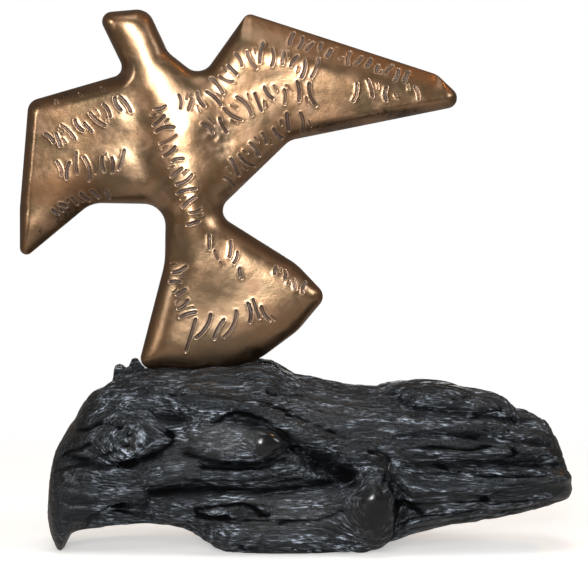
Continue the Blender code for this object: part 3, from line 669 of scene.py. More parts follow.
rootSections = (
    # crest x, crest z, foot x, foot z, front, back
    (0.6, 15.4, 0.0, 7.8, 4.2, 4.9),
    (1.7, 19.2, 0.1, 5.0, 7.7, 8.4),
    (4.6, 24.0, 1.0, 1.6, 10.8, 11.2),
    (7.8, 28.7, 2.5, -0.5, 12.6, 12.9),
    (10.8, 30.9, 4.4, 2.8, 13.6, 14.0),
    (13.6, 32.0, 6.9, 4.1, 14.3, 15.0),
    (18.5, 33.5, 12.8, 4.8, 15.0, 16.1),
    (29.0, 34.2, 26.1, 4.6, 16.1, 17.1),
    (35.0, 34.8, 32.4, 0.8, 16.4, 17.5),
    (40.8, 35.8, 38.5, -1.0, 16.8, 17.5),
    (46.1, 33.8, 46.1, -1.1, 16.8, 17.1),
    (56.6, 31.0, 58.6, -0.5, 16.4, 16.4),
    (61.7, 30.9, 65.6, 2.0, 15.7, 15.7),
    (68.0, 31.7, 71.8, 3.9, 15.0, 15.4),
    (78.9, 30.8, 81.9, 5.8, 13.6, 14.7),
    (86.1, 28.4, 88.4, 6.9, 12.9, 13.6),
    (90.9, 25.8, 93.7, 8.2, 11.9, 12.9),
    (94.7, 23.9, 98.5, 9.3, 10.5, 11.5),
    (96.0, 22.4, 99.5, 10.0, 9.1, 10.1),
    (97.0, 21.1, 100.0, 11.2, 7.0, 8.0),
)

rootSwells = (
    # side, x, z (y on top), reach along, reach across, tilt, rise
    ("front", 36.0, 21.9, 8.5, 3.6, -3, 2.3),
    ("front", 42.0, 21.3, 3.6, 3.0, 0, 1.6),
    ("front", 56.6, 15.4, 3.4, 2.4, -30, -3.2),
    ("front", 52.0, 18.2, 5.4, 2.6, -35, -2.4),
    ("front", 60.8, 19.2, 2.4, 2.6, 20, 1.6),
    ("front", 62.0, 8.4, 4.4, 6.0, 8, 3.2),
    ("front", 16.4, 21.9, 5.4, 3.8, 20, 1.7),
    ("front", 24.0, 26.2, 4.4, 1.7, -12, -1.8),
    ("front", 21.6, 29.4, 3.2, 1.5, -10, 1.1),
    ("front", 28.0, 8.8, 7.5, 2.2, 0, 1.5),
    ("front", 38.6, 8.6, 3.6, 1.3, 0, -1.6),
    ("front", 34.7, 3.4, 4.6, 2.6, 0, 1.2),
    ("front", 46.5, 10.2, 5.4, 1.7, -6, 1.3),
    ("front", 76.0, 30.0, 9.5, 2.2, -6, 1.8),
    ("front", 80.0, 20.5, 13.0, 2.0, -3, 0.9),
    ("top", 14.0, 4.8, 1.4, 1.8, 0, 3.1),
    ("top", 16.9, 4.6, 1.3, 1.8, 0, 2.7),
    ("back", 30.0, 20.0, 9.0, 4.0, 5, 1.8),
    ("back", 68.0, 15.0, 6.0, 5.0, 0, 2.2),
    ("back", 50.0, 12.0, 6.0, 3.0, 10, -1.8),
)

rootGrainLines = (
    # side, width, rise, path through x and z
    ("front", 1.9, 1.7, ((27.0, 29.4), (36.6, 28.0), (43.2, 25.4), (50.5, 21.4), (57.4, 18.6))),
    ("front", 0.9, -1.5, ((35.0, 26.0), (43.0, 23.8), (48.5, 19.6), (51.5, 16.4))),
    ("front", 0.8, -1.5, ((4.4, 18.4), (8.4, 17.5), (11.8, 17.0), (15.0, 17.4), (21.4, 19.6))),
    ("front", 1.5, 1.1, ((10.7, 29.7), (14.7, 28.8), (19.4, 26.9))),
    ("front", 1.1, -2.6, ((20.4, 11.8), (29.0, 12.7), (43.2, 12.6), (53.7, 14.0))),
    ("front", 1.0, 1.1, ((19.4, 14.4), (29.0, 15.1), (38.5, 15.0))),
    ("front", 0.8, -1.8, ((27.0, 19.4), (31.8, 17.9), (37.5, 17.6), (45.1, 18.6))),
    ("front", 0.9, -1.5, ((64.5, 30.6), (69.9, 27.6), (78.5, 26.8), (92.0, 24.4))),
    ("front", 0.9, -1.2, ((66.5, 22.5), (78.0, 22.8), (95.0, 20.4))),
    ("front", 0.9, -1.3, ((67.5, 17.0), (80.0, 17.2), (97.0, 16.6))),
    ("front", 0.9, -1.5, ((65.0, 15.0), (67.2, 11.4), (67.4, 7.2), (64.6, 2.4))),
    ("front", 1.1, 1.1, ((69.0, 12.2), (82.3, 12.8), (99.0, 14.3))),
    ("back", 1.0, -1.8, ((12.0, 22.0), (35.0, 25.0), (60.0, 22.0), (88.0, 20.0))),
    ("back", 1.0, -1.5, ((20.0, 12.0), (40.0, 14.0), (80.0, 13.0))),
    ("back", 1.2, 1.2, ((10.0, 28.0), (40.0, 30.0), (85.0, 26.0))),
)

rootKnots = ((40.0, 21.6, 4.6), (61.5, 9.5, 5.2), (15.6, 21.7, 4.0))

# finer creases and lips of the front, seen only on the dressed root: width, rise, path
rootCreases = (
    (0.45, -1.15, ((31.5, 25.6), (36.0, 26.8), (40.5, 25.9), (44.5, 23.6), (46.6, 21.6))),
    (0.40, -1.10, ((30.0, 17.6), (36.5, 17.0), (42.0, 17.4), (44.0, 18.9), (47.0, 19.8))),
    (0.40, -0.90, ((43.4, 20.0), (45.4, 20.6), (47.6, 20.4))),
    (0.50, 0.80, ((43.6, 18.2), (46.2, 19.2), (48.8, 18.6))),
    (0.45, -1.20, ((61.0, 20.2), (63.6, 19.6), (64.8, 17.6), (64.4, 15.6), (63.6, 14.0))),
    (0.65, 1.10, ((62.0, 21.6), (65.4, 20.6), (66.2, 18.0), (64.9, 15.2))),
    (0.45, -0.90, ((64.8, 14.4), (66.4, 10.9), (68.9, 9.0), (71.0, 8.0))),
    (0.60, -0.90, ((2.6, 21.9), (5.2, 23.2), (8.0, 24.0), (10.8, 25.1))),
    (0.45, -0.80, ((1.8, 18.0), (5.2, 19.6), (8.4, 21.0))),
    (0.50, -0.70, ((1.2, 15.3), (6.4, 17.4), (12.0, 19.0))),
    (0.50, -1.10, ((14.0, 17.0), (17.6, 17.9), (21.6, 19.4), (24.4, 22.0), (23.4, 24.0))),
    (0.45, -0.85, ((11.6, 25.0), (14.0, 24.6), (16.4, 22.6), (15.0, 20.2), (12.0, 19.4))),
    (0.55, 0.75, ((12.4, 26.4), (16.6, 25.6), (19.6, 23.2), (17.6, 20.6))),
    (0.40, -0.80, ((26.8, 13.9), (34.0, 14.1), (41.0, 13.8), (48.0, 14.6))),
    (0.35, -0.60, (
        (24.0, 30.4), (30.0, 30.6), (37.0, 29.6), (44.0, 27.8), (51.0, 24.8), (57.0, 22.4),
    )),
    (0.35, -0.60, ((46.0, 29.0), (54.0, 27.0), (62.0, 26.0), (72.0, 24.6), (84.0, 23.4))),
    (0.35, -0.60, ((66.0, 20.4), (76.0, 20.4), (88.0, 18.4))),
    (0.35, -0.55, ((70.0, 14.6), (82.0, 14.9), (96.0, 15.4))),
    (0.50, -1.00, ((28.6, 9.0), (34.0, 9.8), (38.4, 9.4), (42.0, 8.2))),
    (0.45, -0.70, ((24.2, 5.6), (30.6, 6.6), (37.0, 6.2))),
    (0.45, -0.70, ((44.0, 6.2), (50.0, 6.8), (56.0, 8.6))),
)

# polished places where the grain is worn away: x, z, reach along, reach up, tilt, how smooth
rootPolished = (
    (37.0, 22.2, 6.6, 2.9, -3, 0.18),
    (42.4, 21.6, 3.0, 2.7, -10, 1.0),
    (61.8, 8.2, 4.5, 6.4, 8, 0.8),
    (63.4, 17.8, 1.3, 2.4, 15, 0.7),
)

# places where the black has worn to grey: x, z, reach along, reach up, how much
rootPale = (
    (34.2, 22.4, 7.0, 2.9, 0.9),
    (44.0, 8.4, 13.0, 4.6, 0.65),
    (27.0, 18.6, 8.0, 2.4, 0.35),
    (53.0, 27.4, 9.0, 3.4, 0.50),
)

archOutline = (
    (3.2, -3.0), (5.1, 3.4), (8.4, 7.4), (11.8, 9.3),
    (15.6, 10.3), (20.0, 10.9), (21.0, 6.5), (21.6, -3.0),
)


def facing(side, normals):
    turned = {"front": -normals[:, 1], "back": normals[:, 1], "top": normals[:, 2]}[side]
    return np.clip(1.6 * turned, 0, 1)


def grainFlow(x, z, knots):
    # along and across the grain, which parts round the knots as a stream does
    along, level = x.copy(), z.copy()
    for knotX, knotZ, radius in knots:
        square = np.maximum((x - knotX) ** 2 + (z - knotZ) ** 2, radius ** 2)
        along += (x - knotX) * 0.8 * radius ** 2 / square
        level -= (z - knotZ) * 0.8 * radius ** 2 / square
    return along, level


def rootRings():
    # every ring as evenly spaced points, then small rings that close both ends
    sections = curveThrough(rootSections, rootSettings["stations"])
    angles = np.linspace(0, 2 * math.pi, 721)
    sine, cosine = np.sin(angles), np.cos(angles)
    upper, lower = rootSettings["squareness"]
    power = np.where(sine > 0, 2 / upper, 2 / lower)
    share = (1 + np.sign(sine) * np.abs(sine) ** power) / 2
    out = np.sign(cosine) * np.abs(cosine) ** power
    rings = []
    for crestX, crestZ, footX, footZ, front, back in sections:
        ring = np.stack([
            footX + (crestX - footX) * share,
            out * np.where(out > 0, back, front),
            footZ + (crestZ - footZ) * share,
        ], axis=1)
        rings.append(alongLine(ring, rootSettings["spokes"] + 1))
    shares = rootSettings["capShares"]
    middles = rings[0].mean(0), rings[-1].mean(0)
    startCap = [middles[0] + (rings[0] - middles[0]) * share for share in reversed(shares)]
    endCap = [middles[1] + (rings[-1] - middles[1]) * share for share in shares]
    return np.array(startCap + rings + endCap)


def rollRoot():
    # a flat grid rolled into the leaning rings of the root, its seam merged and its ends closed
    rings = rootRings()
    count = len(rings)
    bpy.ops.object.select_all(action="DESELECT")
    spokes = rootSettings["spokes"]
    bpy.ops.mesh.primitive_grid_add(x_subdivisions=count - 1, y_subdivisions=spokes, size=1)
    piece = bpy.context.active_object
    piece.name = piece.data.name = "weatheredRoot"
    flat = placesOf(piece)
    station = np.round((flat[:, 0] + 0.5) * (count - 1)).astype(int)
    spoke = np.round((flat[:, 1] + 0.5) * spokes).astype(int)
    movePoints(piece, rings[station, spoke])
    bpy.ops.object.mode_set(mode="EDIT")
    bpy.ops.mesh.select_all(action="SELECT")
    bpy.ops.mesh.remove_doubles(threshold=0.0005)
    bpy.ops.mesh.select_all(action="DESELECT")
    bpy.ops.mesh.select_non_manifold()
    bpy.ops.mesh.fill_holes(sides=0)
    bpy.ops.object.mode_set(mode="OBJECT")
    turnOutwards(piece)
    return piece


def swellRoot(piece):
    # the big forms: knots, tongue, hollows, and the broad waves of the grain
    places, normals = placesOf(piece), normalsOf(piece)
    x, y, z = places.T
    rise = np.zeros(len(places))
    for side, spotX, spotZ, reach, across, tilt, height in rootSwells:
        gap = ovalGap(x, y if side == "top" else z, spotX, spotZ, reach, across, tilt)
        rise += height * np.exp(-(gap ** 1.7)) * facing(side, normals)
    for side, width, height, path in rootGrainLines:
        away = distanceToLine(places[:, [0, 2]], curveThrough(path, 40)) / width
        rise += height * np.exp(-(away ** 2)) * facing(side, normals)
    _, level = grainFlow(x, z, rootKnots)
    level = level + 0.35 * np.abs(y)
    low, high = rootSettings["sawnEnds"]
    fade = np.clip((x - low) / 6 + 1, 0, 1) * np.clip((high - x) / 3 + 1, 0, 1)
    for number, (wavelength, height) in enumerate(rootSettings["waves"]):
        drift = 0.9 * np.sin(x * 0.11 * (number + 1) + number)
        rise += height * (2 * np.abs(np.sin(math.pi * level / wavelength + drift)) - 1) * fade
    movePoints(piece, places + normals * rise[:, None])


def archCutter():
    # a plug that runs in from the front and tapers a little at its end wall
    unit, corner = rootSettings["unit"], rootSettings["corner"]
    wall = -rootSettings["archWall"]
    outline = np.array(archOutline, float)
    middle = outline[:, 0].mean()
    fine = alongLine(np.vstack([outline, outline[:1]]), rootSettings["archSteps"] + 1)[:-1]
    mouth, first, count = rootSettings["archLayers"]
    layers = np.r_[mouth, np.linspace(first, wall - 2.0, count), wall]
    points, faces = [], []
    for y in layers:
        share = rootSettings["archTaper"] if y == wall else 1.0
        ring = fine.copy()
        ring[:, 0] = middle + (ring[:, 0] - middle) * share
        ring[:, 1] = np.where(ring[:, 1] > 0, ring[:, 1] * share, ring[:, 1])
        points += [(x, y, z) for x, z in ring]
    count = len(fine)
    for first in range(0, count * (len(layers) - 1), count):
        for k in range(count):
            j = (k + 1) % count
            faces.append((first + k, first + j, first + count + j, first + count + k))
    # the wall itself is finely divided so that it can carry grain
    rim = np.array(points[-count:])[:, [0, 2]]
    stepX, stepZ, space = rootSettings["archGrid"]
    grid = np.array([(x, z) for z in np.arange(-3, 11, stepZ) for x in np.arange(3, 22, stepX)])
    grid = grid[insideOf(grid, rim)]
    grid = grid[distanceToLine(grid, np.vstack([rim, rim[:1]])) > space]
    made, triangles, source = fillRim(rim, grid)
    numbers = len(points) - count + source
    fresh = np.nonzero(source >= count)[0]
    numbers[fresh] = len(points) + np.arange(len(fresh))
    points += [(made[i][0], wall, made[i][1]) for i in fresh]
    faces += [tuple(numbers[i] for i in triangle) for triangle in triangles]
    faces.append(tuple(range(count)))
    cutter = pieceFrom("archCutter", np.array(points) * unit + np.array(corner), faces)
    turnOutwards(cutter)
    return cutter


def cutArch(piece):
    cutter = archCutter()
    selectOnly(piece)
    carve = piece.modifiers.new("arch", "BOOLEAN")
    carve.operation = "DIFFERENCE"
    carve.solver = "EXACT"
    carve.object = cutter
    bpy.ops.object.modifier_apply(modifier=carve.name)
    bpy.data.objects.remove(cutter)
    # the cut leaves a few points all but touching, and faces with many corners
    bpy.ops.object.mode_set(mode="EDIT")
    bpy.ops.mesh.select_all(action="SELECT")
    bpy.ops.mesh.remove_doubles(threshold=rootSettings["archMerge"])
    bpy.ops.mesh.select_all(action="DESELECT")
    bpy.ops.mesh.select_mode(type="FACE")
    bpy.ops.mesh.select_face_by_sides(number=4, type="GREATER")
    bpy.ops.mesh.quads_convert_to_tris(quad_method="BEAUTY", ngon_method="BEAUTY")
    bpy.ops.object.mode_set(mode="OBJECT")


def polishedAt(x, z, normals):
    # how smooth each point is, and how much of that is a polished knot of the front
    polish = np.zeros(len(x))
    for spotX, spotZ, reach, up, tilt, amount in rootPolished:
        gap = ovalGap(x, z, spotX, spotZ, reach, up, tilt)
        polish = np.maximum(polish, amount * np.exp(-(gap ** 3)))
    polish *= facing("front", normals)
    low, high = rootSettings["sawnEnds"]
    sawn = 1 - easeStep(x, low - 2.0, low + 3.0) * (1 - easeStep(x, high - 1.0, high + 1.0))
    under = easeStep(x, 66, 72) * easeStep(-normals[:, 2], 0.0, 0.5) * 0.7
    return np.maximum(polish, 0.85 * np.maximum(sawn, under)), polish


def hollowsAt(frontView, ahead):
    # how far each point lies down in one of the front's pits and long furrows, painted near black as shade
    hollow = np.zeros(len(frontView))
    for side, x, z, reach, across, tilt, height in rootSwells:
        if side == "front" and height < 0:
            gap = ovalGap(*frontView.T, x, z, reach, across, tilt)
            hollow = np.maximum(hollow, min(1.0, -height / 3) * np.exp(-(1.3 * gap) ** 2))
    for side, width, height, path in rootGrainLines:
        if side == "front" and height < 0:
            away = distanceToLine(frontView, curveThrough(path, 40)) / width
            hollow = np.maximum(hollow, min(1.0, -height / 2) * np.exp(-(1.2 * away ** 2)))
    return hollow * ahead


def creasesAt(frontView, ahead, s, t, w):
    # the fine creases, ragged, so that none of them runs as an even line
    crease = np.zeros(len(frontView))
    for width, height, path in rootCreases:
        line = curveThrough(path, 30)
        near = nearTo(frontView, line, 3)
        ragged = 0.55 * hashNoise(s[near] / 0.010, t[near] / 0.006, w[near] / 0.006, 20)
        away = distanceToLine(frontView[near] + rootSettings["raggedness"] * ragged[:, None], line)
        away = away / (width * (1 + 0.5 * ragged))
        crease[near] += height * np.exp(-(away ** 2)) * ahead[near]
    return crease


def burlAt(x, z, w, ahead):
    # rings and grit of the curled grain
    middleX, middleZ, reach, up = rootSettings["burl"]
    burl = np.exp(-ovalGap(x, z, middleX, middleZ, reach, up) ** 2) * ahead
    curl = np.hypot(
        (x - 16.8) / 1.5 + 0.5 * hashNoise(x / 2.2, z / 2.2, w, 21), (z - 22.0) + 0.12 * (x - 16.8))
    rings = np.sin(2 * math.pi * curl / 1.7 + 2.2 * hashNoise(x / 2.4, z / 1.6, w, 22))
    ringRelief, gritRelief = rootSettings["burlRelief"]
    return burl * ringRelief * rings, burl * gritRelief * hashNoise(x / 0.8, z / 0.6, w / 0.003, 23)


def grainRoot(piece):
    # fibres, ropes, flakes and splits along the grain, and the finer creases of the front
    unit, corner = np.array(rootSettings["unit"]), np.array(rootSettings["corner"])
    places, normals = placesOf(piece), normalsOf(piece)
    x, y, z = ((places - corner) / unit).T
    along, level = grainFlow(x, z, rootKnots[1:])  # the fine grain runs straight over the long knot
    s, t, w = along * unit[0], level * unit[2], y * unit[1]
    smooth, knot = polishedAt(x, z, normals)
    warp = 0.004 * hashNoise(s / 0.05, t / 0.02, w / 0.02, 11)

    def strands(length, width, seed):
        return hashNoise(s / length, (t + warp) / width, (w - warp) / width, seed)

    def broadPatches(length, seed):
        return hashNoise(s / length, t / 0.03, w / 0.03, seed)

    # rounded strands with a thin groove wherever the noise passes zero
    rope = sum(share * (np.abs(strands(*size)) ** 0.6 - 0.5) for share, *size in rootSettings["ropes"])
    steps = sum(share * strands(*size) for share, *size in rootSettings["flakes"])
    steps -= np.floor(steps)
    flake = easeStep(steps, 0.0, 0.25) - steps
    lane = np.abs(strands(*rootSettings["splits"])) / rootSettings["splitWidth"]
    split = np.exp(-(lane ** 2)) * easeStep(broadPatches(0.05, 18), -0.15, 0.35)
    rise = rootSettings["ropeRelief"] * rope * (0.65 + 0.35 * broadPatches(0.06, 19))
    rise += rootSettings["fibreRelief"] * strands(*rootSettings["fibres"])
    rise += rootSettings["flakeRelief"] * (flake - 0.3)
    rise -= rootSettings["splitDepth"] * split
    rise *= 0.10 + 0.90 * (1 - smooth)
    frontView = np.stack([x, z], axis=1)
    ahead = facing("front", normals)
    rise += rootSettings["creaseDepth"] * creasesAt(frontView, ahead, s, t, w)
    for relief in burlAt(x, z, w, ahead):
        rise += relief
    moved = places + normals * rise[:, None]
    moved[:, 2] = np.maximum(moved[:, 2], 0.0)
    movePoints(piece, keepInBox(moved, "root_base"))
    millimetres = rise / 0.001
    paint(
        piece, grainPlace=np.stack([s, t, w], axis=1), polishMask=smooth, knotMask=knot,
        # painted shade: splits and hollows are painted near black in the material
        crestMask=easeStep(millimetres, -0.5, 0.9), splitMask=easeStep(-millimetres, 0.55, 1.9),
        hollowMask=hollowsAt(frontView, ahead), paleMask=spotsAt(x, z, rootPale, 2) * ahead,
    )


def seatRoot(piece, bird):
    # the root's top gives way under the foot, with a thin gap all round
    tree = BVHTree.FromPolygons(
        [v.co for v in bird.data.vertices], [p.vertices for p in bird.data.polygons])
    places = placesOf(piece)
    low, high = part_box("dove")
    under = (places[:, 2] > low.z - 0.004) & (places[:, 0] > low.x) & (places[:, 0] < high.x)
    reach = rootSettings["seatReach"]
    for i in np.nonzero(under)[0]:
        x, y = places[i, :2]
        for dx, dy in ((0, 0), (reach, 0), (-reach, 0), (0, reach), (0, -reach)):
            hit = tree.ray_cast(Vector((x + dx, y + dy, 0.09)), Vector((0, 0, 1)))[0]
            if hit is not None:
                places[i, 2] = min(places[i, 2], hit.z - rootSettings["seatGap"])
    movePoints(piece, places)


rootPiece = rollRoot()
swellRoot(rootPiece)
movePoints(rootPiece, placesOf(rootPiece) * rootSettings["unit"] + np.array(rootSettings["corner"]))
cutArch(rootPiece)
grainRoot(rootPiece)
seatRoot(rootPiece, dovePiece)
selectOnly(rootPiece)
bpy.ops.object.shade_smooth()
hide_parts("root_base")
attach(rootPiece, "root")
print("root modelled:", sum(len(p.vertices) - 2 for p in rootPiece.data.polygons), "triangles")


# Shader parts

def feed(tree, socket, value):
    # a socket takes a plain value or another node's output
    if isinstance(value, bpy.types.NodeSocket):
        tree.links.new(value, socket)
    elif value is not None:
        socket.default_value = value


def addNode(tree, kind, values=None, **settings):
    # nodes are laid out in rows of eight
    number = len(tree.nodes)
    node = tree.nodes.new(kind)
    node.location = (number % 8 * 230, -(number // 8) * 330)
    for name, value in settings.items():
        setattr(node, name, value)
    for name, value in (values or {}).items():
        feed(tree, node.inputs[name], value)
    return node


def newGroup(name, inputs, output):
    tree = bpy.data.node_groups.new(name, "ShaderNodeTree")
    for label, kind, value in inputs:
        socket = tree.interface.new_socket(name=label, in_out="INPUT", socket_type=kind)
        if value is not None:
            socket.default_value = value
    tree.interface.new_socket(name=output, in_out="OUTPUT", socket_type="NodeSocketFloat")
    return tree, addNode(tree, "NodeGroupInput").outputs


def closeGroup(tree, name, value):
    addNode(tree, "NodeGroupOutput", {name: value})
    return tree


def newMaterial(name):
    made = bpy.data.materials.new(name)
    made.use_nodes = True
    return made, made.node_tree


def finishMaterial(tree, values):
    for name, value in values.items():
        feed(tree, tree.nodes["Principled BSDF"].inputs[name], value)


def noiseAt(tree, place, **values):
    return addNode(tree, "ShaderNodeTexNoise", {"Vector": place, **values}).outputs["Fac"]


def fromGroup(tree, group, **values):
    return addNode(tree, "ShaderNodeGroup", values, node_tree=group).outputs[0]


def patchesOf(tree, place, scale, low, high):
    return fromGroup(tree, patchyMask, Vector=place, Scale=scale, Low=low, High=high)


def bumpedBy(tree, heights, sizes):
    # bumps one upon another, each with its strength and its distance
    normal = None
    for height, (strength, distance) in zip(heights, sizes):
        values = {"Strength": strength, "Distance": distance, "Height": height, "Normal": normal}
        normal = addNode(tree, "ShaderNodeBump", values).outputs["Normal"]
    return normal


def maskOf(tree, name):
    return addNode(tree, "ShaderNodeAttribute", attribute_name=name).outputs["Fac"]


def objectPlace(tree):
    return addNode(tree, "ShaderNodeTexCoord").outputs["Object"]


def mixColours(tree, factor, first, second):
    values = {0: factor, 6: first, 7: second}
    return addNode(tree, "ShaderNodeMix", values, data_type="RGBA").outputs[2]


def mathOf(tree, operation, *values, clamp=False):
    values = dict(enumerate(values))
    return addNode(tree, "ShaderNodeMath", values, operation=operation, use_clamp=clamp).outputs[0]


def multiplied(tree, value, *factors):
    for factor in factors:
        value = mathOf(tree, "MULTIPLY", value, factor)
    return value


def spread(tree, value, low, high, toLow=0.0, toHigh=1.0):
    values = {"Value": value, "From Min": low, "From Max": high, "To Min": toLow, "To Max": toHigh}
    node = addNode(tree, "ShaderNodeMapRange", values, interpolation_type="SMOOTHSTEP")
    return node.outputs["Result"]


def patchyGroup():
    # soft uneven patches, as of patina, wax or dust
    tree, given = newGroup("patchyMask", (
        ("Vector", "NodeSocketVector", None), ("Scale", "NodeSocketFloat", 20.0),
        ("Low", "NodeSocketFloat", 0.4), ("High", "NodeSocketFloat", 0.6),
    ), "Mask")
    noise = noiseAt(tree, given["Vector"], Scale=given["Scale"], Detail=5.0, Roughness=0.58, Distortion=0.4)
    return closeGroup(tree, "Mask", spread(tree, noise, given["Low"], given["High"]))


def streakGroup():
    # long fine streaks along the first axis: hairlines in metal, fibres in wood
    tree, given = newGroup("fineStreaks", (
        ("Vector", "NodeSocketVector", None), ("Stretch", "NodeSocketVector", (60.0, 900.0, 900.0)),
        ("Roughness", "NodeSocketFloat", 0.6),
    ), "Height")
    values = {0: given["Vector"], 1: given["Stretch"]}
    place = addNode(tree, "ShaderNodeVectorMath", values, operation="MULTIPLY").outputs["Vector"]
    noise = noiseAt(tree, place, Scale=1.0, Detail=4.0, Roughness=given["Roughness"], Distortion=0.25)
    return closeGroup(tree, "Height", noise)


def dustGroup():
    # dust, and painted sheen, on what faces the sky, broken up by a patchy mask
    tree, given = newGroup("settledDust", (
        ("Patches", "NodeSocketFloat", 0.5), ("Amount", "NodeSocketFloat", 0.5),
    ), "Mask")
    normal = addNode(tree, "ShaderNodeNewGeometry").outputs["Normal"]
    upward = addNode(tree, "ShaderNodeSeparateXYZ", {0: normal}).outputs["Z"]
    dust = multiplied(tree, spread(tree, upward, -0.1, 0.9), given["Patches"])
    return closeGroup(tree, "Mask", mathOf(tree, "MULTIPLY", dust, given["Amount"], clamp=True))


patchyMask = patchyGroup()
fineStreaks = streakGroup()
settledDust = dustGroup()


bronzeLook = {
    "gold": (0.40, 0.240, 0.130, 1),
    "olive": (0.275, 0.192, 0.112, 1),
    "rose": (0.52, 0.325, 0.215, 1),
    "roseShare": 0.45,
    # brown of the patina clouds, and of the painted shade
    "brown": (0.140, 0.070, 0.033, 1),
    # painted shade of the tail
    "brownClouds": (0.35, -0.12),
    "dim": (0.185, 0.128, 0.078, 1),
    # soot, and painted shade
    "soot": (0.035, 0.028, 0.017, 1),
    "sootSpecks": (0.5, 0.62),
    "oxide": (0.145, 0.120, 0.114, 1),
    "oldOxide": (0.095, 0.064, 0.048, 1),
    # painted highlight of the lips
    "lip": (0.78, 0.60, 0.47, 1),
    "lipShare": 0.30,
    # size of each patchy mask, and where it sets in and is full
    "patches": (34.0, 0.36, 0.64),
    "clouds": (85.0, 0.42, 0.68),
    "specks": (420.0, 0.52, 0.66),
    "hairs": (240.0, 900.0, 2400.0),
    "roughness": 0.25,
    "roughening": (0.08, 0.07, 0.12, 0.14, 0.16),  # by hairs, clouds, cuts, soot with painted shade, and brown with painted shade
    "bumps": ((0.18, 0.0012), (0.10, 0.0003), (0.6, 0.0004)),  # of waves, hairs and grit
    "coatWeight": 0.22,
    "coatRoughness": 0.16,
}


def bronzeMaterial():
    look = bronzeLook
    made, tree = newMaterial("polishedBronze")
    place = objectPlace(tree)
    patches, clouds, specks = (
        patchesOf(tree, place, *look[name]) for name in ("patches", "clouds", "specks"))
    hairs = fromGroup(tree, fineStreaks, Vector=place, Stretch=look["hairs"])
    cut, lip, brown, dim, soot = (
        maskOf(tree, name) for name in ("cutMask", "lipMask", "brownMask", "dimMask", "sootMask"))

    # patina clouds and painted shade make the brown; soot specks and painted shade make the soot
    brownish = mathOf(tree, "ADD", mathOf(tree, "MULTIPLY_ADD", clouds, *look["brownClouds"]), brown)
    brownish = spread(tree, brownish, 0.15, 1.0, 0.0, 0.82)
    sooty = multiplied(tree, mathOf(tree, "MULTIPLY_ADD", specks, *look["sootSpecks"]), soot)
    sooty = spread(tree, sooty, 0.18, 0.9, 0.0, 0.9)
    colour = mixColours(tree, patches, look["gold"], look["olive"])
    for factor, tone in (
        # painted shade comes in with the dim, the brown and the soot tones
        (multiplied(tree, clouds, look["roseShare"]), look["rose"]), (dim, look["dim"]),
        (brownish, look["brown"]), (sooty, look["soot"]),
        # painted highlight on the lips and the dug patch
        (multiplied(tree, lip, look["lipShare"]), look["lip"]),
        (cut, mixColours(tree, clouds, look["oxide"], look["oldOxide"])),
    ):
        colour = mixColours(tree, factor, colour, tone)

    rough = look["roughness"]
    for value, share in zip((hairs, clouds, cut, sooty, brownish), look["roughening"]):
        rough = mathOf(tree, "MULTIPLY_ADD", value, share, rough, clamp=value is brownish)

    wavy = noiseAt(tree, place, Scale=120.0, Detail=3.0, Roughness=0.5)
    grit = noiseAt(tree, place, Scale=900.0, Detail=2.0, Roughness=0.6)
    normal = bumpedBy(tree, (wavy, hairs, multiplied(tree, grit, cut)), look["bumps"])
    finishMaterial(tree, {
        "Base Color": colour, "Metallic": mathOf(tree, "MULTIPLY_ADD", cut, -0.25, 1.0),
        "Roughness": rough, "Normal": normal,
        "Coat Weight": look["coatWeight"], "Coat Roughness": look["coatRoughness"],
    })
    return made


rootLook = {
    "black": (0.0032, 0.0034, 0.0038, 1),
    "slate": (0.016, 0.018, 0.0205, 1),
    "umber": (0.017, 0.0125, 0.008, 1),
    "pale": (0.036, 0.036, 0.036, 1),
    # dust, with painted sheen on what faces up
    "dust": (0.060, 0.066, 0.074, 1),
    "dustAmount": 0.30,
    # painted glints
    "glint": (0.50, 0.585, 0.70, 1),
    # painted shade in the splits and hollows
    "crevice": (0.0015, 0.0015, 0.0018, 1),
    "specular": (0.42, 0.05),  # on the open grain, and in crevices and on the waxed knots
    "specularTint": (0.80, 0.91, 1.0, 1),
    "waxRoughness": 0.19,
    "waxIndex": 1.5,
    # how often each streak repeats along and across the grain, and its fineness
    "fibres": ((95.0, 620.0, 620.0), 0.62),
    "broad": ((26.0, 190.0, 190.0), 0.55),
    "bands": ((14.0, 60.0, 60.0), 0.5),
    "threads": ((140.0, 900.0, 900.0), 0.62),
    "patches": (38.0, 0.40, 0.66),
    "grit": (750.0, 0.5, 0.7),
    "dulling": (0.35, 0.5, -0.11),  # by dust and painted sheen, crevices and wax
    "bumps": ((1.0, 0.0022), (1.0, 0.0017), (1.0, 0.00035)),  # of broad streaks, fibres and grit
}


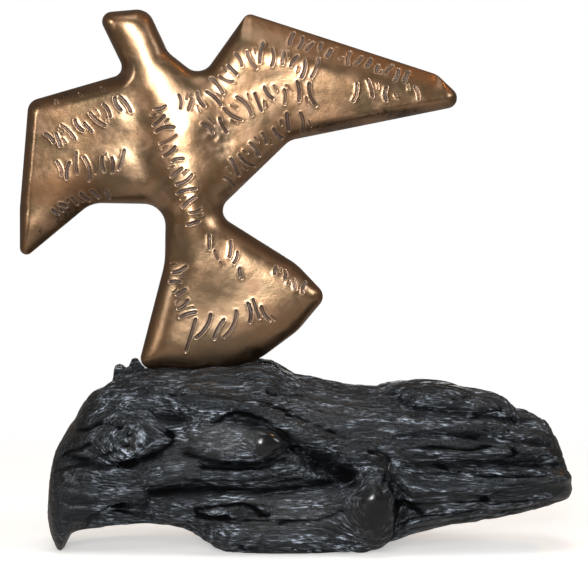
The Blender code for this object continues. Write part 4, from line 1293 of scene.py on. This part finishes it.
def rootMaterial():
    look = rootLook
    made, tree = newMaterial("blackenedRoot")
    grain = addNode(tree, "ShaderNodeAttribute", attribute_name="grainPlace").outputs["Vector"]
    place = objectPlace(tree)
    polish, knot, crest, split, hollow, worn = (maskOf(tree, name) for name in (
        "polishMask", "knotMask", "crestMask", "splitMask", "hollowMask", "paleMask"))
    fibres, broad, bands, threads = (
        fromGroup(tree, fineStreaks, Vector=grain, Stretch=look[name][0], Roughness=look[name][1])
        for name in ("fibres", "broad", "bands", "threads"))
    patches, grit = patchesOf(tree, place, *look["patches"]), patchesOf(tree, place, *look["grit"])
    rough = mathOf(tree, "SUBTRACT", 1.0, polish, clamp=True)
    # painted shade: the splits and hollows, painted near black below
    deep = mathOf(tree, "MAXIMUM", split, hollow)

    # slate on the crests of the grain, umber and grey where the black has worn thin, then dust with painted
    # sheen
    crests = multiplied(tree, spread(tree, fibres, 0.42, 0.70), crest)
    dust = fromGroup(tree, settledDust, Amount=look["dustAmount"], Patches=patches)
    dust = multiplied(tree, dust, spread(tree, broad, 0.36, 0.62, 0.15, 1.0), rough)
    # painted glints: pale dashes in the colour, strung along the fibres in patches
    glints = multiplied(
        tree, spread(tree, threads, 0.46, 0.76), spread(tree, broad, 0.42, 0.62, 0.06, 1.15),
        spread(tree, patches, 0.0, 1.0, 0.42, 1.3), rough)
    colour = look["black"]
    for factor, tone in (
        (crests, "slate"), (spread(tree, broad, 0.56, 0.74, 0.0, 0.45), "umber"), (worn, "pale"),
        (dust, "dust"), (glints, "glint"), (deep, "crevice"), (multiplied(tree, knot, 0.9), "black"),
    ):
        colour = mixColours(tree, factor, colour, look[tone])

    dullness = mathOf(tree, "MULTIPLY_ADD", fibres, 0.16, spread(tree, bands, 0.35, 0.65, 0.10, 0.26))
    for value, share in zip((dust, deep, knot), look["dulling"]):
        dullness = mathOf(tree, "MULTIPLY_ADD", value, share, dullness, clamp=True)
    hushed = mathOf(tree, "MAXIMUM", deep, knot)

    strength = mathOf(tree, "MULTIPLY_ADD", rough, 0.85, 0.06)
    heights = [multiplied(tree, *pair) for pair in ((broad, strength), (fibres, strength), (grit, rough))]
    finishMaterial(tree, {
        "Base Color": colour, "Roughness": dullness, "Normal": bumpedBy(tree, heights, look["bumps"]),
        "Specular IOR Level": spread(tree, hushed, 0.0, 0.9, *look["specular"]),
        "Specular Tint": look["specularTint"],
        "Coat Weight": knot, "Coat Roughness": look["waxRoughness"], "Coat IOR": look["waxIndex"],
    })
    return made


dovePiece.data.materials.append(bronzeMaterial())
rootPiece.data.materials.append(rootMaterial())
print("materials made")


# Floor, light and camera

stageSettings = {
    "floorRadius": 0.85,
    "floorDrop": 0.0002,
    "floorFade": (0.34, 0.80),
    "floorTint": (0.93, 0.93, 0.925, 1),
    "floorShade": 0.985,
    "floorClouds": (3.0, 0.3, 0.7),
    "floorGlow": 0.42,
    "floorHush": 0.75,  # how much of the floor is left out of reflections
    "room": (0.178, 0.153, 0.134, 1),
    "backdrop": (1.0, 1.0, 1.0, 1),
    "lampAim": (0.0, 0.0, 0.17),
    "lens": 165.1,
    "distance": 1.8,
    "elevation": 3.0,
    "aim": (-0.0011, 0.0, 0.176),
}

softLights = (
    # name, place, size, watts, colour
    ("frontSoftbox", (-0.16, -1.95, 0.60), 0.80, 23.0, (1.0, 0.975, 0.95)),
    ("keyLamp", (-0.04, -1.92, 0.44), 0.10, 7.0, (1.0, 0.985, 0.97)),
    ("leftFill", (-1.70, -0.90, 0.70), 0.70, 10.0, (1.0, 0.97, 0.93)),
    ("rightFill", (1.70, -0.70, 0.90), 0.70, 9.0, (0.95, 0.975, 1.0)),
    ("backFill", (0.0, 2.00, 0.30), 0.80, 6.0, (1.0, 0.985, 0.97)),
    ("warmGlint", (1.00, 0.25, 1.50), 0.12, 3.0, (1.0, 0.50, 0.16)),
    ("highSoftbox", (0.0, -0.45, 1.75), 1.10, 9.0, (1.0, 1.0, 1.0)),
)


def floorMaterial():
    # pale, fading out towards its edge, and mostly unseen by reflections
    made, tree = newMaterial("paleFloor")
    place = objectPlace(tree)
    tint = stageSettings["floorTint"]
    darker = tuple(c * stageSettings["floorShade"] for c in tint[:3]) + (1,)
    patches = patchesOf(tree, place, *stageSettings["floorClouds"])
    reach = addNode(tree, "ShaderNodeVectorMath", {0: place}, operation="LENGTH").outputs["Value"]
    fade = spread(tree, reach, *stageSettings["floorFade"], 1.0, 0.0)
    mirrored = addNode(tree, "ShaderNodeLightPath").outputs["Is Glossy Ray"]
    seen = mathOf(tree, "MULTIPLY_ADD", mirrored, -stageSettings["floorHush"], 1.0)
    finishMaterial(tree, {
        "Base Color": mixColours(tree, patches, tint, darker), "Roughness": 0.75,
        "Specular IOR Level": 0.25, "Alpha": multiplied(tree, fade, seen),
        "Emission Color": tint, "Emission Strength": stageSettings["floorGlow"],
    })
    return made


def placeInScene(name, data, place, turn):
    holder = bpy.data.objects.new(name, data)
    bpy.context.scene.collection.objects.link(holder)
    holder.location = place
    holder.rotation_euler = turn
    return holder


bpy.ops.object.select_all(action="DESELECT")
bpy.ops.mesh.primitive_circle_add(vertices=96, radius=stageSettings["floorRadius"], fill_type="NGON")
floor = bpy.context.active_object
floor.name = "studioFloor"
floor.location.z = -stageSettings["floorDrop"]
floor.data.materials.append(floorMaterial())

for name, place, size, watts, colour in softLights:
    lamp = bpy.data.lights.new(name, "AREA")
    lamp.shape = "DISK"
    lamp.size = size
    lamp.energy = watts
    lamp.color = colour
    towards = Vector(stageSettings["lampAim"]) - Vector(place)
    placeInScene(name, lamp, place, towards.to_track_quat("-Z", "Y").to_euler())

# the camera sees a white backdrop, and the bronze mirrors a warm dim room
world = bpy.data.worlds.new("softRoom")
world.use_nodes = True
tree = world.node_tree
room = tree.nodes["Background"]
room.inputs["Color"].default_value = stageSettings["room"]
backdrop = addNode(tree, "ShaderNodeBackground", {"Color": stageSettings["backdrop"]})
seen = addNode(tree, "ShaderNodeLightPath").outputs["Is Camera Ray"]
blend = addNode(tree, "ShaderNodeMixShader", {0: seen, 1: room.outputs[0], 2: backdrop.outputs[0]})
feed(tree, tree.nodes["World Output"].inputs["Surface"], blend.outputs[0])
bpy.context.scene.world = world
bpy.context.scene.view_settings.view_transform = "Standard"

lens = bpy.data.cameras.new("photoCamera")
lens.sensor_width = 36.0
lens.lens = stageSettings["lens"]
rise = math.radians(stageSettings["elevation"])
arm = stageSettings["distance"] * Vector((0, -math.cos(rise), math.sin(rise)))
camera = placeInScene(
    "photoCamera", lens, Vector(stageSettings["aim"]) + arm, (math.radians(90) - rise, 0, 0))
bpy.context.scene.camera = camera
print("stage set")
